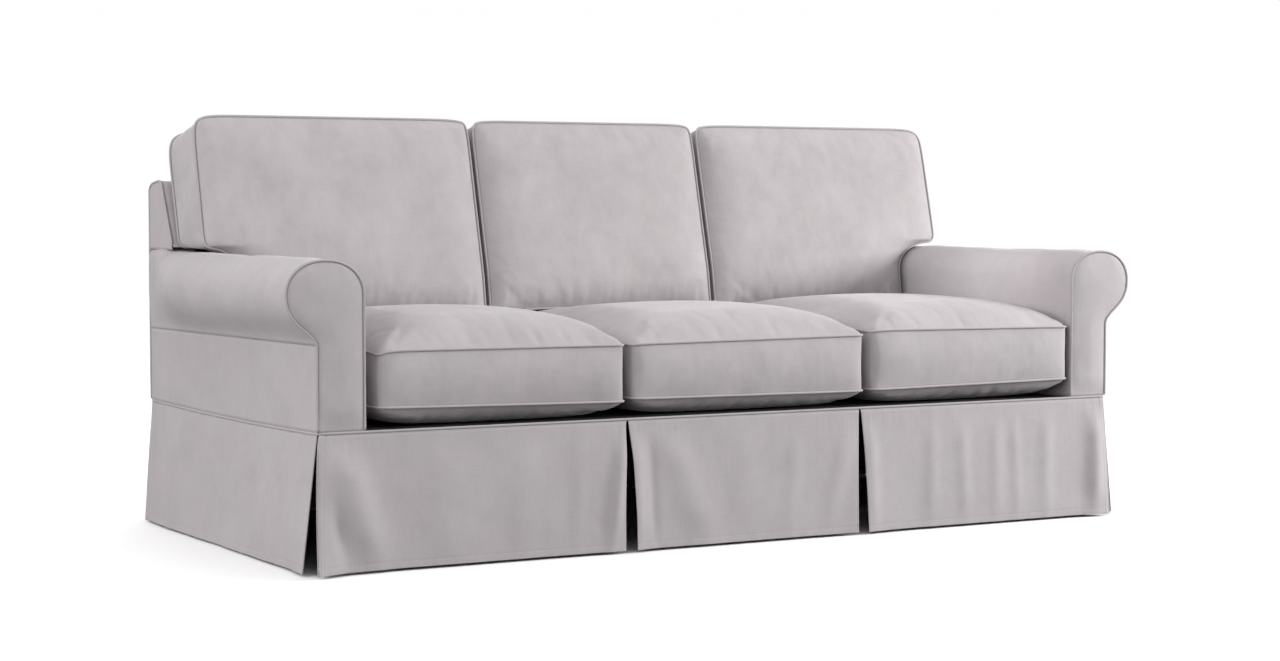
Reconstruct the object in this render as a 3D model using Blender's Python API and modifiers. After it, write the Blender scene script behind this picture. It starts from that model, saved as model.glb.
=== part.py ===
"""Fitted cover for a three-seat roll-arm sofa, with its box cushions.

The cover is hollow and open below: thin cloth panels sewn edge to edge, with a corded welt in the
main seams and a skirt with open pleats at its corners and below the joints of the seat cushions.
Metres, +Z up, X along the sofa, the front towards -Y, and the origin on the floor under the middle
of the cover.
"""

import math

import bmesh
import bpy
import numpy as np
from mathutils import Vector

# Driving dimensions. Widths and depths are to the middle of the welts unless said otherwise.
POST_HALF = 1.0115  # middle of the sofa to the outside of an arm
ARM_INNER = 0.9085  # middle of the sofa to the inside of an arm
HALF_DEPTH = 0.5105
SKIRT_SEAM = 0.286
DECK_TOP = 0.2875
HEM_HEIGHT = 0.006
CLOTH = 0.0025
WELT = 0.0035  # radius of the corded welt
GAP = 0.0003  # between neighbouring pieces
TRIM = WELT + GAP  # how far a panel stops short of the line of its welt
SIDES = {"left": -1, "right": 1}

# The scroll of an arm. Its outline is a rounded arch, squarer where square is lower.
SCROLL_HEIGHT = 0.562  # of the widest point
SCROLL_FRONT = {"out": 1.0775, "top": 0.633, "square": 0.92}
SCROLL_BACK = {"out": 1.0155, "square": 0.30}
SCROLL_FADES = (0.20, 0.51)  # between these depths the scroll draws in to the back
FRONT_RISE = {"start": -0.51, "end": -0.42, "height": 0.0035}
BACK_RISE = {"start": 0.34, "end": 0.42, "height": 0.0085}
UNDER_SEAM = {"front": 0.462, "back": 0.455}
SCROLL_STEPS = 10
UNDER_STEPS = 5
INSIDE_ARM_HEIGHTS = (DECK_TOP + GAP, 0.38, 0.47, 0.525)
ARM_DEPTHS = (TRIM - HALF_DEPTH, -0.42, -0.15, 0.06, 0.20, 0.29, 0.34, 0.38, 0.42, HALF_DEPTH - TRIM)

# The back from its end: its slope from the deck to the top, and its rounded rear corner, as (Y, Z).
BACK_FOOT = (0.318, DECK_TOP + GAP)
BACK_KNEE = (0.352, 0.648)  # where the back widens over the arms
BACK_FRONT = (0.4235, 0.7905)
BACK_LIP = (0.428, 0.795)
BACK_CROWN = (0.467, 0.7965)
BACK_SHOULDER = (0.4985, 0.7895)
BACK_ROUND = (0.507, 0.7835)
BACK_TURN = (HALF_DEPTH, 0.7765)
BACK_REAR = (HALF_DEPTH, 0.768)  # the seam behind
KNEE_LIP = (0.0006, 0.0018)  # the knee's lower edge lies this far behind and below it
BACK_WIDTHS = (-1, -0.75, -0.5, -0.25, 0, 0.25, 0.5, 0.75, 1)

# Cushions. A rim is the sharp edge that a welt is sewn along.
RIM_TO_WELT = WELT + 0.0005
SEAT_FRONT = -0.508
SEAT_BACK = 0.245
SEATS = {
    "left": {"left": -0.885, "right": -0.303, "low": 0.3297, "high": 0.4423, "crown": 0.080},
    "middle": {"left": -0.2875, "right": 0.3105, "low": 0.3302, "high": 0.4463, "crown": 0.074},
    "right": {"left": 0.3307, "right": 0.8965, "low": 0.3320, "high": 0.4495, "crown": 0.072},
}
SEAT_TOP = {"power": 0.40, "lean": 0.22}
SEAT_UNDER = {"power": 0.10, "lean": 0.0}
LEAN = math.radians(14.0)
BACK_CUSHION_FOOT = (0.160, 0.499)  # of the front rim at the foot, as (Y, Z)
BACK_CUSHION_DEPTH = 0.142
# rest is how far the rear of a cushion stays in front of the slope that it lies against.
BACK_CUSHIONS = {
    "left": {"inner": 0.3075, "outer": 0.989, "tall": 0.459, "rest": 0.0027},
    "middle": {"left": -0.2900, "right": 0.3150, "tall": 0.457, "rest": 0.0018},
    "right": {"inner": 0.3335, "outer": 1.0155, "tall": 0.4555, "rest": 0.0027},
}
BACK_CUSHION_FACE = {"crown": 0.038, "power": 0.50, "lean": 0.10}
BACK_CUSHION_REAR = {"crown": 0.026, "power": 0.50, "lean": 0.0}
LEVEL_FOOT = (0.20, 0.44)  # the border turns from level to square to the lean between these heights
BORDER_SWELL = 0.005
CORNER_CUT = 0.0058  # how far a corner is drawn in both ways, for a radius of 20 mm
CORNER_POWER = 37
STOPS = (-1, -0.955, -0.80, -0.50, 0, 0.50, 0.80, 0.955, 1)

# An end cushion, row by row from its foot to its top: height up its inner side, height up its
# outer side, and how far out its outer side stands. It widens over the arm into an ear.
EAR_ROWS = (
    {"inner": 0.000, "outer": 0.000, "out": 0.893},
    {"inner": 0.020, "outer": 0.020, "out": 0.8955},
    {"inner": 0.060, "outer": 0.060, "out": 0.8965},
    {"inner": 0.098, "outer": 0.094, "out": 0.8990},
    {"inner": 0.125, "outer": 0.1165, "out": 0.911},
    {"inner": 0.150, "outer": 0.136, "out": 0.930},
    {"inner": 0.170, "outer": 0.1470, "out": 0.950},
    {"inner": 0.190, "outer": 0.1560, "out": 0.972},
    {"inner": 0.212, "outer": 0.1590, "out": 0.990},
    {"inner": 0.236, "outer": 0.1625, "out": 1.003},
    {"inner": 0.262, "outer": 0.1750, "out": 1.010},
    {"inner": 0.310, "outer": 0.250, "out": 1.0125},
    {"inner": 0.370, "outer": 0.350, "out": 1.0125},
    {"inner": 0.425, "outer": 0.425, "out": 1.0125},
    {"inner": 0.446, "outer": 0.446, "out": 1.0125},
    {"inner": 0.455, "outer": 0.455, "out": 1.0125},
)
EAR_START = 0.900  # outside this the end cushions differ in width
EAR_LOW = 0.200  # above this height they differ in height
# The rear of an end cushion against its front, by distance from the middle of the sofa: it lifts
# where the arm is squarer behind, and its ear hangs lower and wider.
EAR_REAR = (
    {"at": 0.899, "lift": 0.0, "out": 0.0},
    {"at": 0.915, "lift": 0.012, "out": 0.0},
    {"at": 0.950, "lift": 0.006, "out": 0.0},
    {"at": 0.975, "lift": 0.0, "out": 0.0},
    {"at": 1.000, "lift": -0.008, "out": 0.013},
)
LIFT_FADES = (0.15, 0.25)  # between these heights

# The skirt. Each soft fold of a panel: where it starts and where it meets the hem, measured along
# the panel from its middle, how wide it is there, and how far it stands out (or, below 0, draws in).
SKIRT_DROP = SKIRT_SEAM - TRIM - HEM_HEIGHT
SKIRT_ROWS = 4
SKIRT_JOINT = 0.301  # middle of the sofa to an open pleat of the front skirt
SKIRT_CORNER = 0.012  # radius of its seam at the corners
PLEAT = 0.0115  # half the width of an open pleat at the hem
SIDE_SHORT = 0.005  # a side panel starts this far in from the corners
FRONT_LEFT_FOLDS = (
    {"top": -0.27, "hem": -0.235, "wide": 0.045, "out": -0.012},
    {"top": -0.20, "hem": -0.130, "wide": 0.050, "out": 0.006},
    {"top": 0.05, "hem": 0.020, "wide": 0.060, "out": -0.003},
    {"top": 0.315, "hem": 0.305, "wide": 0.022, "out": -0.008},
)
FRONT_MIDDLE_FOLDS = (
    {"top": -0.265, "hem": -0.235, "wide": 0.030, "out": 0.007},
    {"top": -0.225, "hem": -0.110, "wide": 0.040, "out": -0.006},
    {"top": 0.10, "hem": 0.060, "wide": 0.060, "out": 0.003},
    {"top": 0.225, "hem": 0.235, "wide": 0.030, "out": -0.005},
)
FRONT_RIGHT_FOLDS = (
    {"top": -0.30, "hem": -0.290, "wide": 0.030, "out": 0.006},
    {"top": -0.17, "hem": -0.180, "wide": 0.040, "out": 0.004},
    {"top": 0.02, "hem": 0.030, "wide": 0.040, "out": 0.004},
    {"top": 0.23, "hem": 0.220, "wide": 0.035, "out": -0.009},
)
SIDE_FOLDS = (
    {"top": -0.30, "hem": -0.330, "wide": 0.070, "out": 0.004},
    {"top": -0.05, "hem": -0.020, "wide": 0.090, "out": -0.005},
    {"top": 0.24, "hem": 0.270, "wide": 0.080, "out": 0.005},
)
BACK_FOLDS = (
    {"top": -0.62, "hem": -0.640, "wide": 0.080, "out": -0.005},
    {"top": -0.20, "hem": -0.170, "wide": 0.110, "out": 0.005},
    {"top": 0.33, "hem": 0.350, "wide": 0.100, "out": -0.005},
    {"top": 0.74, "hem": 0.760, "wide": 0.080, "out": 0.005},
)
# The same panels' ends at the hem, how far each spreads (or, below 0, draws in), and their flare
# there: in the middle and extra at each end.
SKIRT_PANELS = {
    "front_left": {
        "spread": {"left": 0.0245, "right": -PLEAT},
        "flare": {"middle": 0.014, "left": 0.028, "right": 0.006},
        "folds": FRONT_LEFT_FOLDS, "wraps": ("left",), "columns": 20,
    },
    "front_middle": {
        "spread": {"left": -PLEAT, "right": -PLEAT},
        "flare": {"middle": 0.012, "left": 0.010, "right": 0.008},
        "folds": FRONT_MIDDLE_FOLDS, "wraps": (), "columns": 18,
    },
    "front_right": {
        "spread": {"left": -PLEAT, "right": 0.006},
        "flare": {"middle": 0.010, "left": 0.012, "right": 0.014},
        "folds": FRONT_RIGHT_FOLDS, "wraps": ("right",), "columns": 20,
    },
    "back": {
        "spread": {"left": 0.013, "right": 0.013},
        "flare": {"middle": 0.014, "left": 0.016, "right": 0.016},
        "folds": BACK_FOLDS, "wraps": ("left", "right"), "columns": 24,
    },
    "side_left": {
        "spread": {}, "flare": {"middle": 0.023, "left": -0.004, "right": 0.010},
        "folds": SIDE_FOLDS, "wraps": (), "columns": 18,
    },
    "side_right": {
        "spread": {}, "flare": {"middle": 0.023, "left": 0.006, "right": -0.004},
        "folds": SIDE_FOLDS, "wraps": (), "columns": 18,
    },
}
FLARE_STARTS = 0.55  # share of the half length where an end's own flare begins
FOLDED_EDGE = 0.022  # depth of the cloth folded back inside an open pleat
FOLD_SLANT = 0.12  # how far the folded cloth slants under its panel, per depth
FOLD_STATIONS = (1.0, 0.45, 0.08)  # along the folded cloth, from its free edge
WRAP = {"top": 0.026, "hem": 0.046}  # how far a front or back panel turns in behind the side panel
WRAP_INSET = CLOTH + 2 * GAP  # it turns just inside the side panel

PANEL_COLOUR = (0.50, 0.465, 0.475)
CUSHION_COLOUR = (0.52, 0.485, 0.495)
WELT_COLOUR = (0.47, 0.435, 0.445)
SHARP_FROM = math.radians(40)


def clear_scene():
    for thing in list(bpy.data.objects):
        bpy.data.objects.remove(thing, do_unlink=True)


def new_collection(name):
    made = bpy.data.collections.new(name)
    bpy.context.scene.collection.children.link(made)
    return made


def fabric(name, colour):
    """Brushed cotton cloth: dull and not metallic."""
    made = bpy.data.materials.new(name)
    made.use_nodes = True
    shader = made.node_tree.nodes["Principled BSDF"]
    shader.inputs["Base Color"].default_value = (*colour, 1.0)
    shader.inputs["Roughness"].default_value = 0.9
    shader.inputs["Metallic"].default_value = 0.0
    return made


def finish(thing, colour):
    """Gives a piece its material and its place in the cover's collection."""
    thing.data.materials.append(fabric(thing.name + "_cloth", colour))
    cover.objects.link(thing)
    return thing


def smoothed(mesh):
    mesh.shade_smooth()
    mesh.set_sharp_from_angle(angle=SHARP_FROM)


def between(low, high, share):
    return low + (high - low) * share


def eased(value, start, end):
    """0 before start, 1 after end, and an even S between."""
    share = min(max((value - start) / (end - start), 0.0), 1.0)
    return share * share * (3 - 2 * share)


# Sheets


def sheet(name, across, along, place, turned=False):
    """A panel: its outer surface is place(u, v) at the stations across and along, with its cloth behind."""
    grid = bmesh.new()
    bmesh.ops.create_grid(grid, x_segments=len(across) - 1, y_segments=len(along) - 1, size=0.5)
    for corner in grid.verts:
        u = across[round((corner.co.x + 0.5) * (len(across) - 1))]
        v = along[round((corner.co.y + 0.5) * (len(along) - 1))]
        corner.co = Vector(place(u, v))
    if turned:
        bmesh.ops.reverse_faces(grid, faces=grid.faces)
    mesh = bpy.data.meshes.new(name)
    grid.to_mesh(mesh)
    grid.free()
    smoothed(mesh)
    thing = bpy.data.objects.new(name, mesh)
    body = thing.modifiers.new("Cloth", "SOLIDIFY")
    body.thickness = CLOTH
    body.offset = -1.0
    body.use_even_offset = True
    return finish(thing, PANEL_COLOUR)


def flat_panel(name, outline, turn, where):
    """A flat cut panel: its outline lies in its own plane, which turn and where put in place."""
    curve = bpy.data.curves.new(name, "CURVE")
    curve.dimensions = "2D"
    curve.fill_mode = "BOTH"
    curve.extrude = CLOTH / 2
    line = curve.splines.new("POLY")
    line.points.add(len(outline) - 1)
    line.use_cyclic_u = True
    for point, (x, y) in zip(line.points, outline):
        point.co = (x, y, 0, 1)
    thing = bpy.data.objects.new(name, curve)
    thing.rotation_euler = turn
    thing.location = where
    return finish(thing, PANEL_COLOUR)


def welt(name, path, closed=False):
    """A cord sewn into a seam, along a path of points."""
    curve = bpy.data.curves.new(name, "CURVE")
    curve.dimensions = "3D"
    curve.bevel_depth = WELT
    curve.bevel_resolution = 1
    curve.use_fill_caps = True
    curve.twist_mode = "MINIMUM"
    line = curve.splines.new("POLY")
    line.points.add(len(path) - 1)
    line.use_cyclic_u = closed
    for point, place in zip(line.points, path):
        point.co = (*place, 1)
    return finish(bpy.data.objects.new(name, curve), WELT_COLOUR)


def stations(count):
    return [i / count for i in range(count + 1)]


def drawn_to_ends(count):
    """Stations from 0 to 1 that lie closer together at both ends."""
    return [(1 - math.cos(math.pi * i / count)) / 2 for i in range(count + 1)]


# Arms


def arm_top(depth):
    """Height of the crest of an arm."""
    top = SCROLL_FRONT["top"]
    for rise in (FRONT_RISE, BACK_RISE):
        top += rise["height"] * eased(depth, rise["start"], rise["end"])
    return top


def under_seam(depth):
    """Height of the seam below the scroll."""
    return between(UNDER_SEAM["front"], UNDER_SEAM["back"], (depth + HALF_DEPTH) / (2 * HALF_DEPTH))


def arm_section(depth, side):
    """Half of an arm from the front, as (X, Z): up from the deck, over the scroll and down to its seam."""
    fade = eased(depth, *SCROLL_FADES)
    out = between(SCROLL_FRONT["out"], SCROLL_BACK["out"], fade)
    square = between(SCROLL_FRONT["square"], SCROLL_BACK["square"], fade)
    middle = (ARM_INNER + out) / 2
    half = (out - ARM_INNER) / 2
    tall = arm_top(depth) - SCROLL_HEIGHT
    points = [(ARM_INNER, z) for z in INSIDE_ARM_HEIGHTS]
    for i in range(SCROLL_STEPS + 1):
        turn = math.pi * (1 - i / SCROLL_STEPS)
        sideways = math.copysign(abs(math.cos(turn)) ** square, math.cos(turn))
        points.append((middle + half * sideways, SCROLL_HEIGHT + tall * math.sin(turn) ** square))
    for i in range(1, UNDER_STEPS + 1):
        points.append(under_scroll(i / UNDER_STEPS, out, under_seam(depth)))
    return [(side * x, z) for x, z in points]


def under_scroll(share, out, seam):
    """The hollow below the scroll: a cubic from its widest point in to the post at the seam."""
    keep = 1 - share
    sideways = keep**3 + 3 * keep**2 * share + 3 * keep * share**2 * 0.1
    down = 3 * keep**2 * share * 0.6 + 3 * keep * share**2 * 0.7 + share**3
    return POST_HALF + (out - POST_HALF) * sideways, between(SCROLL_HEIGHT, seam + GAP, down)


def inset(points, distance, side):
    """An open line moved to its right-hand side, or its left on the other arm."""
    flat = np.array(points)
    run = np.gradient(flat, axis=0)
    run /= np.linalg.norm(run, axis=1)[:, None]
    return flat + side * distance * np.stack([run[:, 1], -run[:, 0]], axis=1)


def make_arm(where, side):
    """Inside-arm panel that rolls over the scroll, outside arm, front panel and the welt round it."""
    front = -HALF_DEPTH
    columns = list(range(len(INSIDE_ARM_HEIGHTS) + SCROLL_STEPS + 1 + UNDER_STEPS))

    def over_arm(column, depth):
        x, z = arm_section(depth, side)[column]
        return x, depth, z

    sheet(f"inside_arm_{where}", columns, ARM_DEPTHS, over_arm, turned=side < 0)

    def outer(depth, share):
        return side * POST_HALF, depth, between(SKIRT_SEAM + TRIM, under_seam(depth), share)

    depths = [front + TRIM, -0.15, 0.2, -front - TRIM]
    sheet(f"outside_arm_{where}", depths, stations(2), outer, turned=side < 0)

    section = arm_section(front, side)
    line = [(side * ARM_INNER, SKIRT_SEAM + TRIM)] + section[1:] + [(side * POST_HALF, SKIRT_SEAM + TRIM)]
    welt(f"welt_arm_front_{where}", [(x, front, z) for x, z in line])

    cut = inset(line, TRIM, side)
    cut[[0, -1], 1] = SKIRT_SEAM + TRIM
    flat_panel(f"arm_front_{where}", cut, (math.pi / 2, 0, 0), (0, front + CLOTH / 2, 0))


# Back and deck


def make_back():
    """The inside back that wraps over the top, the outside back, the end gussets, and their welts."""
    lip = (BACK_KNEE[0] - KNEE_LIP[0], BACK_KNEE[1] - KNEE_LIP[1])
    low = (between(BACK_FOOT[0], BACK_KNEE[0], 0.5), between(BACK_FOOT[1], BACK_KNEE[1], 0.5))
    mid = (between(BACK_KNEE[0], BACK_FRONT[0], 0.5), between(BACK_KNEE[1], BACK_FRONT[1], 0.5))
    over = [mid, BACK_FRONT, BACK_LIP, BACK_CROWN, BACK_SHOULDER, BACK_ROUND, BACK_TURN]
    over.append((BACK_REAR[0], BACK_REAR[1] + GAP))
    line = [BACK_FOOT, low, lip, BACK_KNEE] + over

    def slope(across, row):
        y, z = line[row]
        half = POST_HALF - TRIM if line[row] in [BACK_KNEE] + over else ARM_INNER - GAP
        return across * half, y, z

    sheet("inside_back", BACK_WIDTHS, list(range(len(line))), slope)

    def behind(across, up):
        return -across * (POST_HALF - TRIM), HALF_DEPTH, up

    sheet("outside_back", BACK_WIDTHS, [SKIRT_SEAM + TRIM, 0.45, 0.61, BACK_REAR[1]], behind)

    for where, side in SIDES.items():
        foot = BACK_KNEE[1] + WELT
        start = (BACK_KNEE[0] + 0.0015, foot)
        rim = [start] + over
        path = rim + [(HALF_DEPTH, SKIRT_SEAM + TRIM)]
        welt(f"welt_back_{where}", [(side * POST_HALF, y, z) for y, z in path])
        cut = inset(rim + [(HALF_DEPTH, foot)], TRIM, 1)
        cut[[0, -1], 1] = BACK_KNEE[1] + 2 * GAP
        spot = (side * (POST_HALF - CLOTH / 2), 0, 0)
        flat_panel(f"back_gusset_{where}", cut, (math.pi / 2, 0, math.pi / 2), spot)


def inside_back_at(height):
    """How far back the front of the inside back lies at a height."""
    line = (BACK_FOOT, BACK_KNEE, BACK_FRONT)
    return float(np.interp(height, [z for _, z in line], [y for y, _ in line]))


def make_deck():
    def deck(across, along):
        return across * (ARM_INNER - GAP), along, DECK_TOP

    sheet("deck", BACK_WIDTHS, [TRIM - HALF_DEPTH, -0.25, 0.0, BACK_FOOT[0]], deck)


# Skirt


def flare_at(along, half, flare):
    """How far the hem stands out: the panel's own flare, more towards an end."""
    towards = along / half
    left = max(0.0, (-towards - FLARE_STARTS) / (1 - FLARE_STARTS))
    right = max(0.0, (towards - FLARE_STARTS) / (1 - FLARE_STARTS))
    return flare["middle"] + flare["left"] * left**2 + flare["right"] * right**2


def fold_depth(along, drop, folds):
    total = 0.0
    for fold in folds:
        middle = between(fold["top"], fold["hem"], drop)
        total += fold["out"] * math.exp(-(((along - middle) / fold["wide"]) ** 2))
    return total * drop


def skirt_panel(name, start, end, outward, form):
    """A skirt panel between two points of the seam, as seen from outside with start on the left.

    An end with a spread turns in: one in wraps turns the corner and runs on behind the side
    panel, and the others are folded straight back.
    """
    start, end, outward = Vector((*start, 0)), Vector((*end, 0)), Vector((*outward, 0))
    run = (end - start).normalized()
    half = (end - start).length / 2
    middle = (start + end) / 2
    spread = form["spread"]
    face = [("face", share) for share in drawn_to_ends(form["columns"])]
    left_end = [("left", share) for share in FOLD_STATIONS if "left" in spread]
    right_end = [("right", share) for share in reversed(FOLD_STATIONS) if "right" in spread]

    def place(station, drop):
        part, share = station
        left = -half - spread.get("left", 0.0) * drop
        right = half + spread.get("right", 0.0) * drop
        along = {"left": left, "right": right}.get(part, between(left, right, share))
        out = flare_at(along, half, form["flare"]) * drop + fold_depth(along, drop, form["folds"])
        if part in form["wraps"]:
            out -= between(WRAP["top"], WRAP["hem"], drop) * share
        elif part != "face":
            out -= FOLDED_EDGE * share
            along += (1 if part == "left" else -1) * FOLD_SLANT * FOLDED_EDGE * share
        spot = middle + run * along + outward * out
        return spot.x, spot.y, SKIRT_SEAM - TRIM - SKIRT_DROP * drop

    sheet(f"skirt_{name}", left_end + face + right_end, stations(SKIRT_ROWS), place, turned=True)


def make_skirt():
    """Three front panels with open pleats between them, a panel at each side and one behind."""
    corner = POST_HALF - WRAP_INSET
    side_end = HALF_DEPTH - SIDE_SHORT
    front = -HALF_DEPTH
    joints = {
        "front_left": (-corner, -SKIRT_JOINT - 2 * GAP),
        "front_middle": (2 * GAP - SKIRT_JOINT, SKIRT_JOINT - 2 * GAP),
        "front_right": (SKIRT_JOINT + 2 * GAP, corner),
    }
    for name, (start, end) in joints.items():
        skirt_panel(name, (start, front), (end, front), (0, -1), SKIRT_PANELS[name])
    skirt_panel("back", (corner, -front), (-corner, -front), (0, 1), SKIRT_PANELS["back"])
    for where, side in SIDES.items():
        start, end = (side * POST_HALF, -side * side_end), (side * POST_HALF, side * side_end)
        skirt_panel(f"side_{where}", start, end, (side, 0), SKIRT_PANELS[f"side_{where}"])


def make_skirt_welt():
    """One cord round the whole cover where the skirt is sewn on, with rounded corners."""
    path = []
    for across, along, first in ((1, -1, -90), (1, 1, 0), (-1, 1, 90), (-1, -1, 180)):
        x, y = across * (POST_HALF - SKIRT_CORNER), along * (HALF_DEPTH - SKIRT_CORNER)
        middle = Vector((x, y, SKIRT_SEAM))
        for step in range(4):
            angle = math.radians(first + 30 * step)
            path.append(middle + SKIRT_CORNER * Vector((math.cos(angle), math.sin(angle), 0)))
        path += straight(path[-1], across, along)
    welt("welt_skirt", path, closed=True)


def straight(last, across, along):
    """Points spaced along the run that follows a corner, so that the cord can follow the panels."""
    along_end = Vector((last.x, -last.y, last.z))
    along_front = Vector((-last.x, last.y, last.z))
    target = along_end if across * along < 0 else along_front
    return [last.lerp(target, share) for share in (0.25, 0.5, 0.75)]


# Cushions


def cut_corners(plan, across, along):
    """Draws the corners of a plan in, so that its outline is rounded there."""
    a, b = np.meshgrid(across, along, indexing="ij")
    cut = CORNER_CUT * np.abs(a * b) ** CORNER_POWER
    return plan - np.stack([np.sign(a) * cut, np.sign(b) * cut], axis=2)


def crown_over(across, along, form):
    """How far a face rises over the same grid: nothing at the rim, and steeply just inside it."""
    a, b = np.meshgrid(across, along, indexing="ij")
    return form["crown"] * ((1 - a**2) * (1 - b**2)) ** form["power"] * (1 - form["lean"] * b)


def make_cushion(name, plan, place, thick, crowns):
    """A filled box cushion with a welt along the rim of each of its two big faces.

    plan is a grid of flat places and place(x, y, through) stands them up; through is the distance
    from the middle of the cushion. crowns has the rise of the front or top face and of the other.
    """
    columns, rows = plan.shape[0] - 1, plan.shape[1] - 1
    body = bmesh.new()
    bmesh.ops.create_cube(body, size=2)
    for axis, cuts in enumerate((columns, rows, 2)):
        rungs = [e for e in body.edges if abs((e.verts[0].co - e.verts[1].co)[axis]) > 1]
        bmesh.ops.subdivide_edges(body, edges=rungs, cuts=cuts - 1, use_grid_fill=True)
    spots = {}
    for corner in body.verts:
        i = round((corner.co.x + 1) / 2 * columns)
        j = round((corner.co.y + 1) / 2 * rows)
        layer = round(corner.co.z)
        rise = crowns[0][i, j] if layer > 0 else crowns[1][i, j]
        corner.co = Vector(place(*plan[i, j], layer * (thick / 2 + rise)))
        spots[i, j, layer] = corner
    bmesh.ops.recalc_face_normals(body, faces=body.faces)
    body.normal_update()
    for (_, _, layer), corner in spots.items():
        if layer == 0:
            corner.co += corner.normal * BORDER_SWELL
    body.normal_update()
    loop = [(i, 0) for i in range(columns)] + [(columns, j) for j in range(rows)]
    loop += [(i, rows) for i in range(columns, 0, -1)] + [(0, j) for j in range(rows, 0, -1)]
    for which, layer in (("face", 1), ("rear", -1)):
        rim = [spots[i, j, layer] for i, j in loop]
        welt(f"welt_{name}_{which}", [spot.co + spot.normal * RIM_TO_WELT for spot in rim], closed=True)
    mesh = bpy.data.meshes.new(name)
    body.to_mesh(mesh)
    body.free()
    smoothed(mesh)
    finish(bpy.data.objects.new(name, mesh), CUSHION_COLOUR)


def make_seat_cushions():
    """Three seats side by side on the deck, filling the width between the arms."""
    square = np.stack(np.meshgrid(STOPS, STOPS, indexing="ij"), axis=2)
    for where, seat in SEATS.items():
        half = ((seat["right"] - seat["left"]) / 2, (SEAT_BACK - SEAT_FRONT) / 2)
        middle = ((seat["right"] + seat["left"]) / 2, (SEAT_BACK + SEAT_FRONT) / 2)
        plan = cut_corners(square * half + middle, STOPS, STOPS)
        level = (seat["low"] + seat["high"]) / 2
        top = crown_over(STOPS, STOPS, {"crown": seat["crown"], **SEAT_TOP})
        under = crown_over(STOPS, STOPS, {"crown": seat["low"] - DECK_TOP - 2 * GAP, **SEAT_UNDER})

        def place(x, y, through):
            return x, y, level + through

        make_cushion(f"seat_cushion_{where}", plan, place, seat["high"] - seat["low"], (top, under))


def lean_place(x, up, through, rest):
    """A spot of a leaning back cushion: across the sofa, up from its foot, and forward from its middle.

    Its big faces lean; its border is level at the foot, where it rests, and square to them at the
    top. The rear crown gives way to the inside back that it lies against.
    """
    foot_y, foot_z = BACK_CUSHION_FOOT
    forward = through - BACK_CUSHION_DEPTH / 2
    rear = -forward / BACK_CUSHION_DEPTH
    at = [row["at"] for row in EAR_REAR]
    lift, out = (np.interp(abs(x), at, [row[key] for row in EAR_REAR]) for key in ("lift", "out"))
    y = foot_y + up * math.sin(LEAN) - forward
    z = foot_z + up * math.cos(LEAN) + forward * math.sin(LEAN) * eased(up, *LEVEL_FOOT)
    z += rear * lift * (1 - eased(up, *LIFT_FADES))
    if rear > 1:
        y = min(y, inside_back_at(z) - rest)
    return x + math.copysign(rear * out, x), y, z


def make_back_cushions():
    """Three back cushions; each end one has an ear that lies over its arm."""
    inner, outer, out = (np.array([row[key] for row in EAR_ROWS]) for key in ("inner", "outer", "out"))
    rows = 2 * inner / inner[-1] - 1
    share = (np.array(STOPS)[:, None] + 1) / 2
    crowns = (crown_over(STOPS, rows, BACK_CUSHION_FACE), crown_over(STOPS, rows, BACK_CUSHION_REAR))
    for where, form in BACK_CUSHIONS.items():
        stretch = (form["tall"] - EAR_LOW) / (inner[-1] - EAR_LOW)
        tall = between(inner, outer, share if where in SIDES else 0 * share)
        tall = np.where(tall > EAR_LOW, EAR_LOW + (tall - EAR_LOW) * stretch, tall)
        if where in SIDES:
            reach = (form["outer"] - EAR_START) / (out[-1] - EAR_START)
            edge = np.where(out > EAR_START, EAR_START + (out - EAR_START) * reach, out)
            across = between(form["inner"], edge, share)
        else:
            across = between(form["left"], form["right"], share + 0 * rows)
        plan = cut_corners(np.stack([across, tall], axis=2), STOPS, rows)
        plan[:, :, 0] *= SIDES.get(where, 1)

        def place(x, up, through):
            return lean_place(x, up, through, form["rest"])

        make_cushion(f"back_cushion_{where}", plan, place, BACK_CUSHION_DEPTH, crowns)


clear_scene()
cover = new_collection("sofa_slipcover")
for where_side, side_sign in SIDES.items():
    make_arm(where_side, side_sign)
make_back()
make_deck()
make_skirt()
make_skirt_welt()
make_seat_cushions()
make_back_cushions()
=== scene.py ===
"""Fitted cover for a three-seat roll-arm sofa with its box cushions, in a pale brushed cotton."""

import math

import bpy
import numpy as np
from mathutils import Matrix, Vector


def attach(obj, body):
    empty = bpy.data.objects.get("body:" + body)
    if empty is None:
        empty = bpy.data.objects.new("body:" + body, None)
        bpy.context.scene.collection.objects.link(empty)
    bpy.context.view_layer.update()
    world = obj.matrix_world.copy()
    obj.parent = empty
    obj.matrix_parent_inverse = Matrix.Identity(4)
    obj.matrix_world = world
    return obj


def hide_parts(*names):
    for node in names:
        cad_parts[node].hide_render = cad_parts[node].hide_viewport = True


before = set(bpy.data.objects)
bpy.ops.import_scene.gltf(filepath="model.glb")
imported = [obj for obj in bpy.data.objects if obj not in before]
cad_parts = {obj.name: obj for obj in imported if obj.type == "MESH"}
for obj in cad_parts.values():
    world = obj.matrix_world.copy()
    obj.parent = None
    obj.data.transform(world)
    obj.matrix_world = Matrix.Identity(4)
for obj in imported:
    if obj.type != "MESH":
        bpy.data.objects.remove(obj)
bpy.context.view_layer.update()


# ------------------------------------------------------------------ where it stands
# A long lens a little above the seats, and a plain white floor in an even white room. A low soft
# window at the right throws the far arm's shadow on the back cushion, a wide screen stands at the
# left, a narrow beam from there brightens the inside of the far arm, and one light stands behind.

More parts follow.
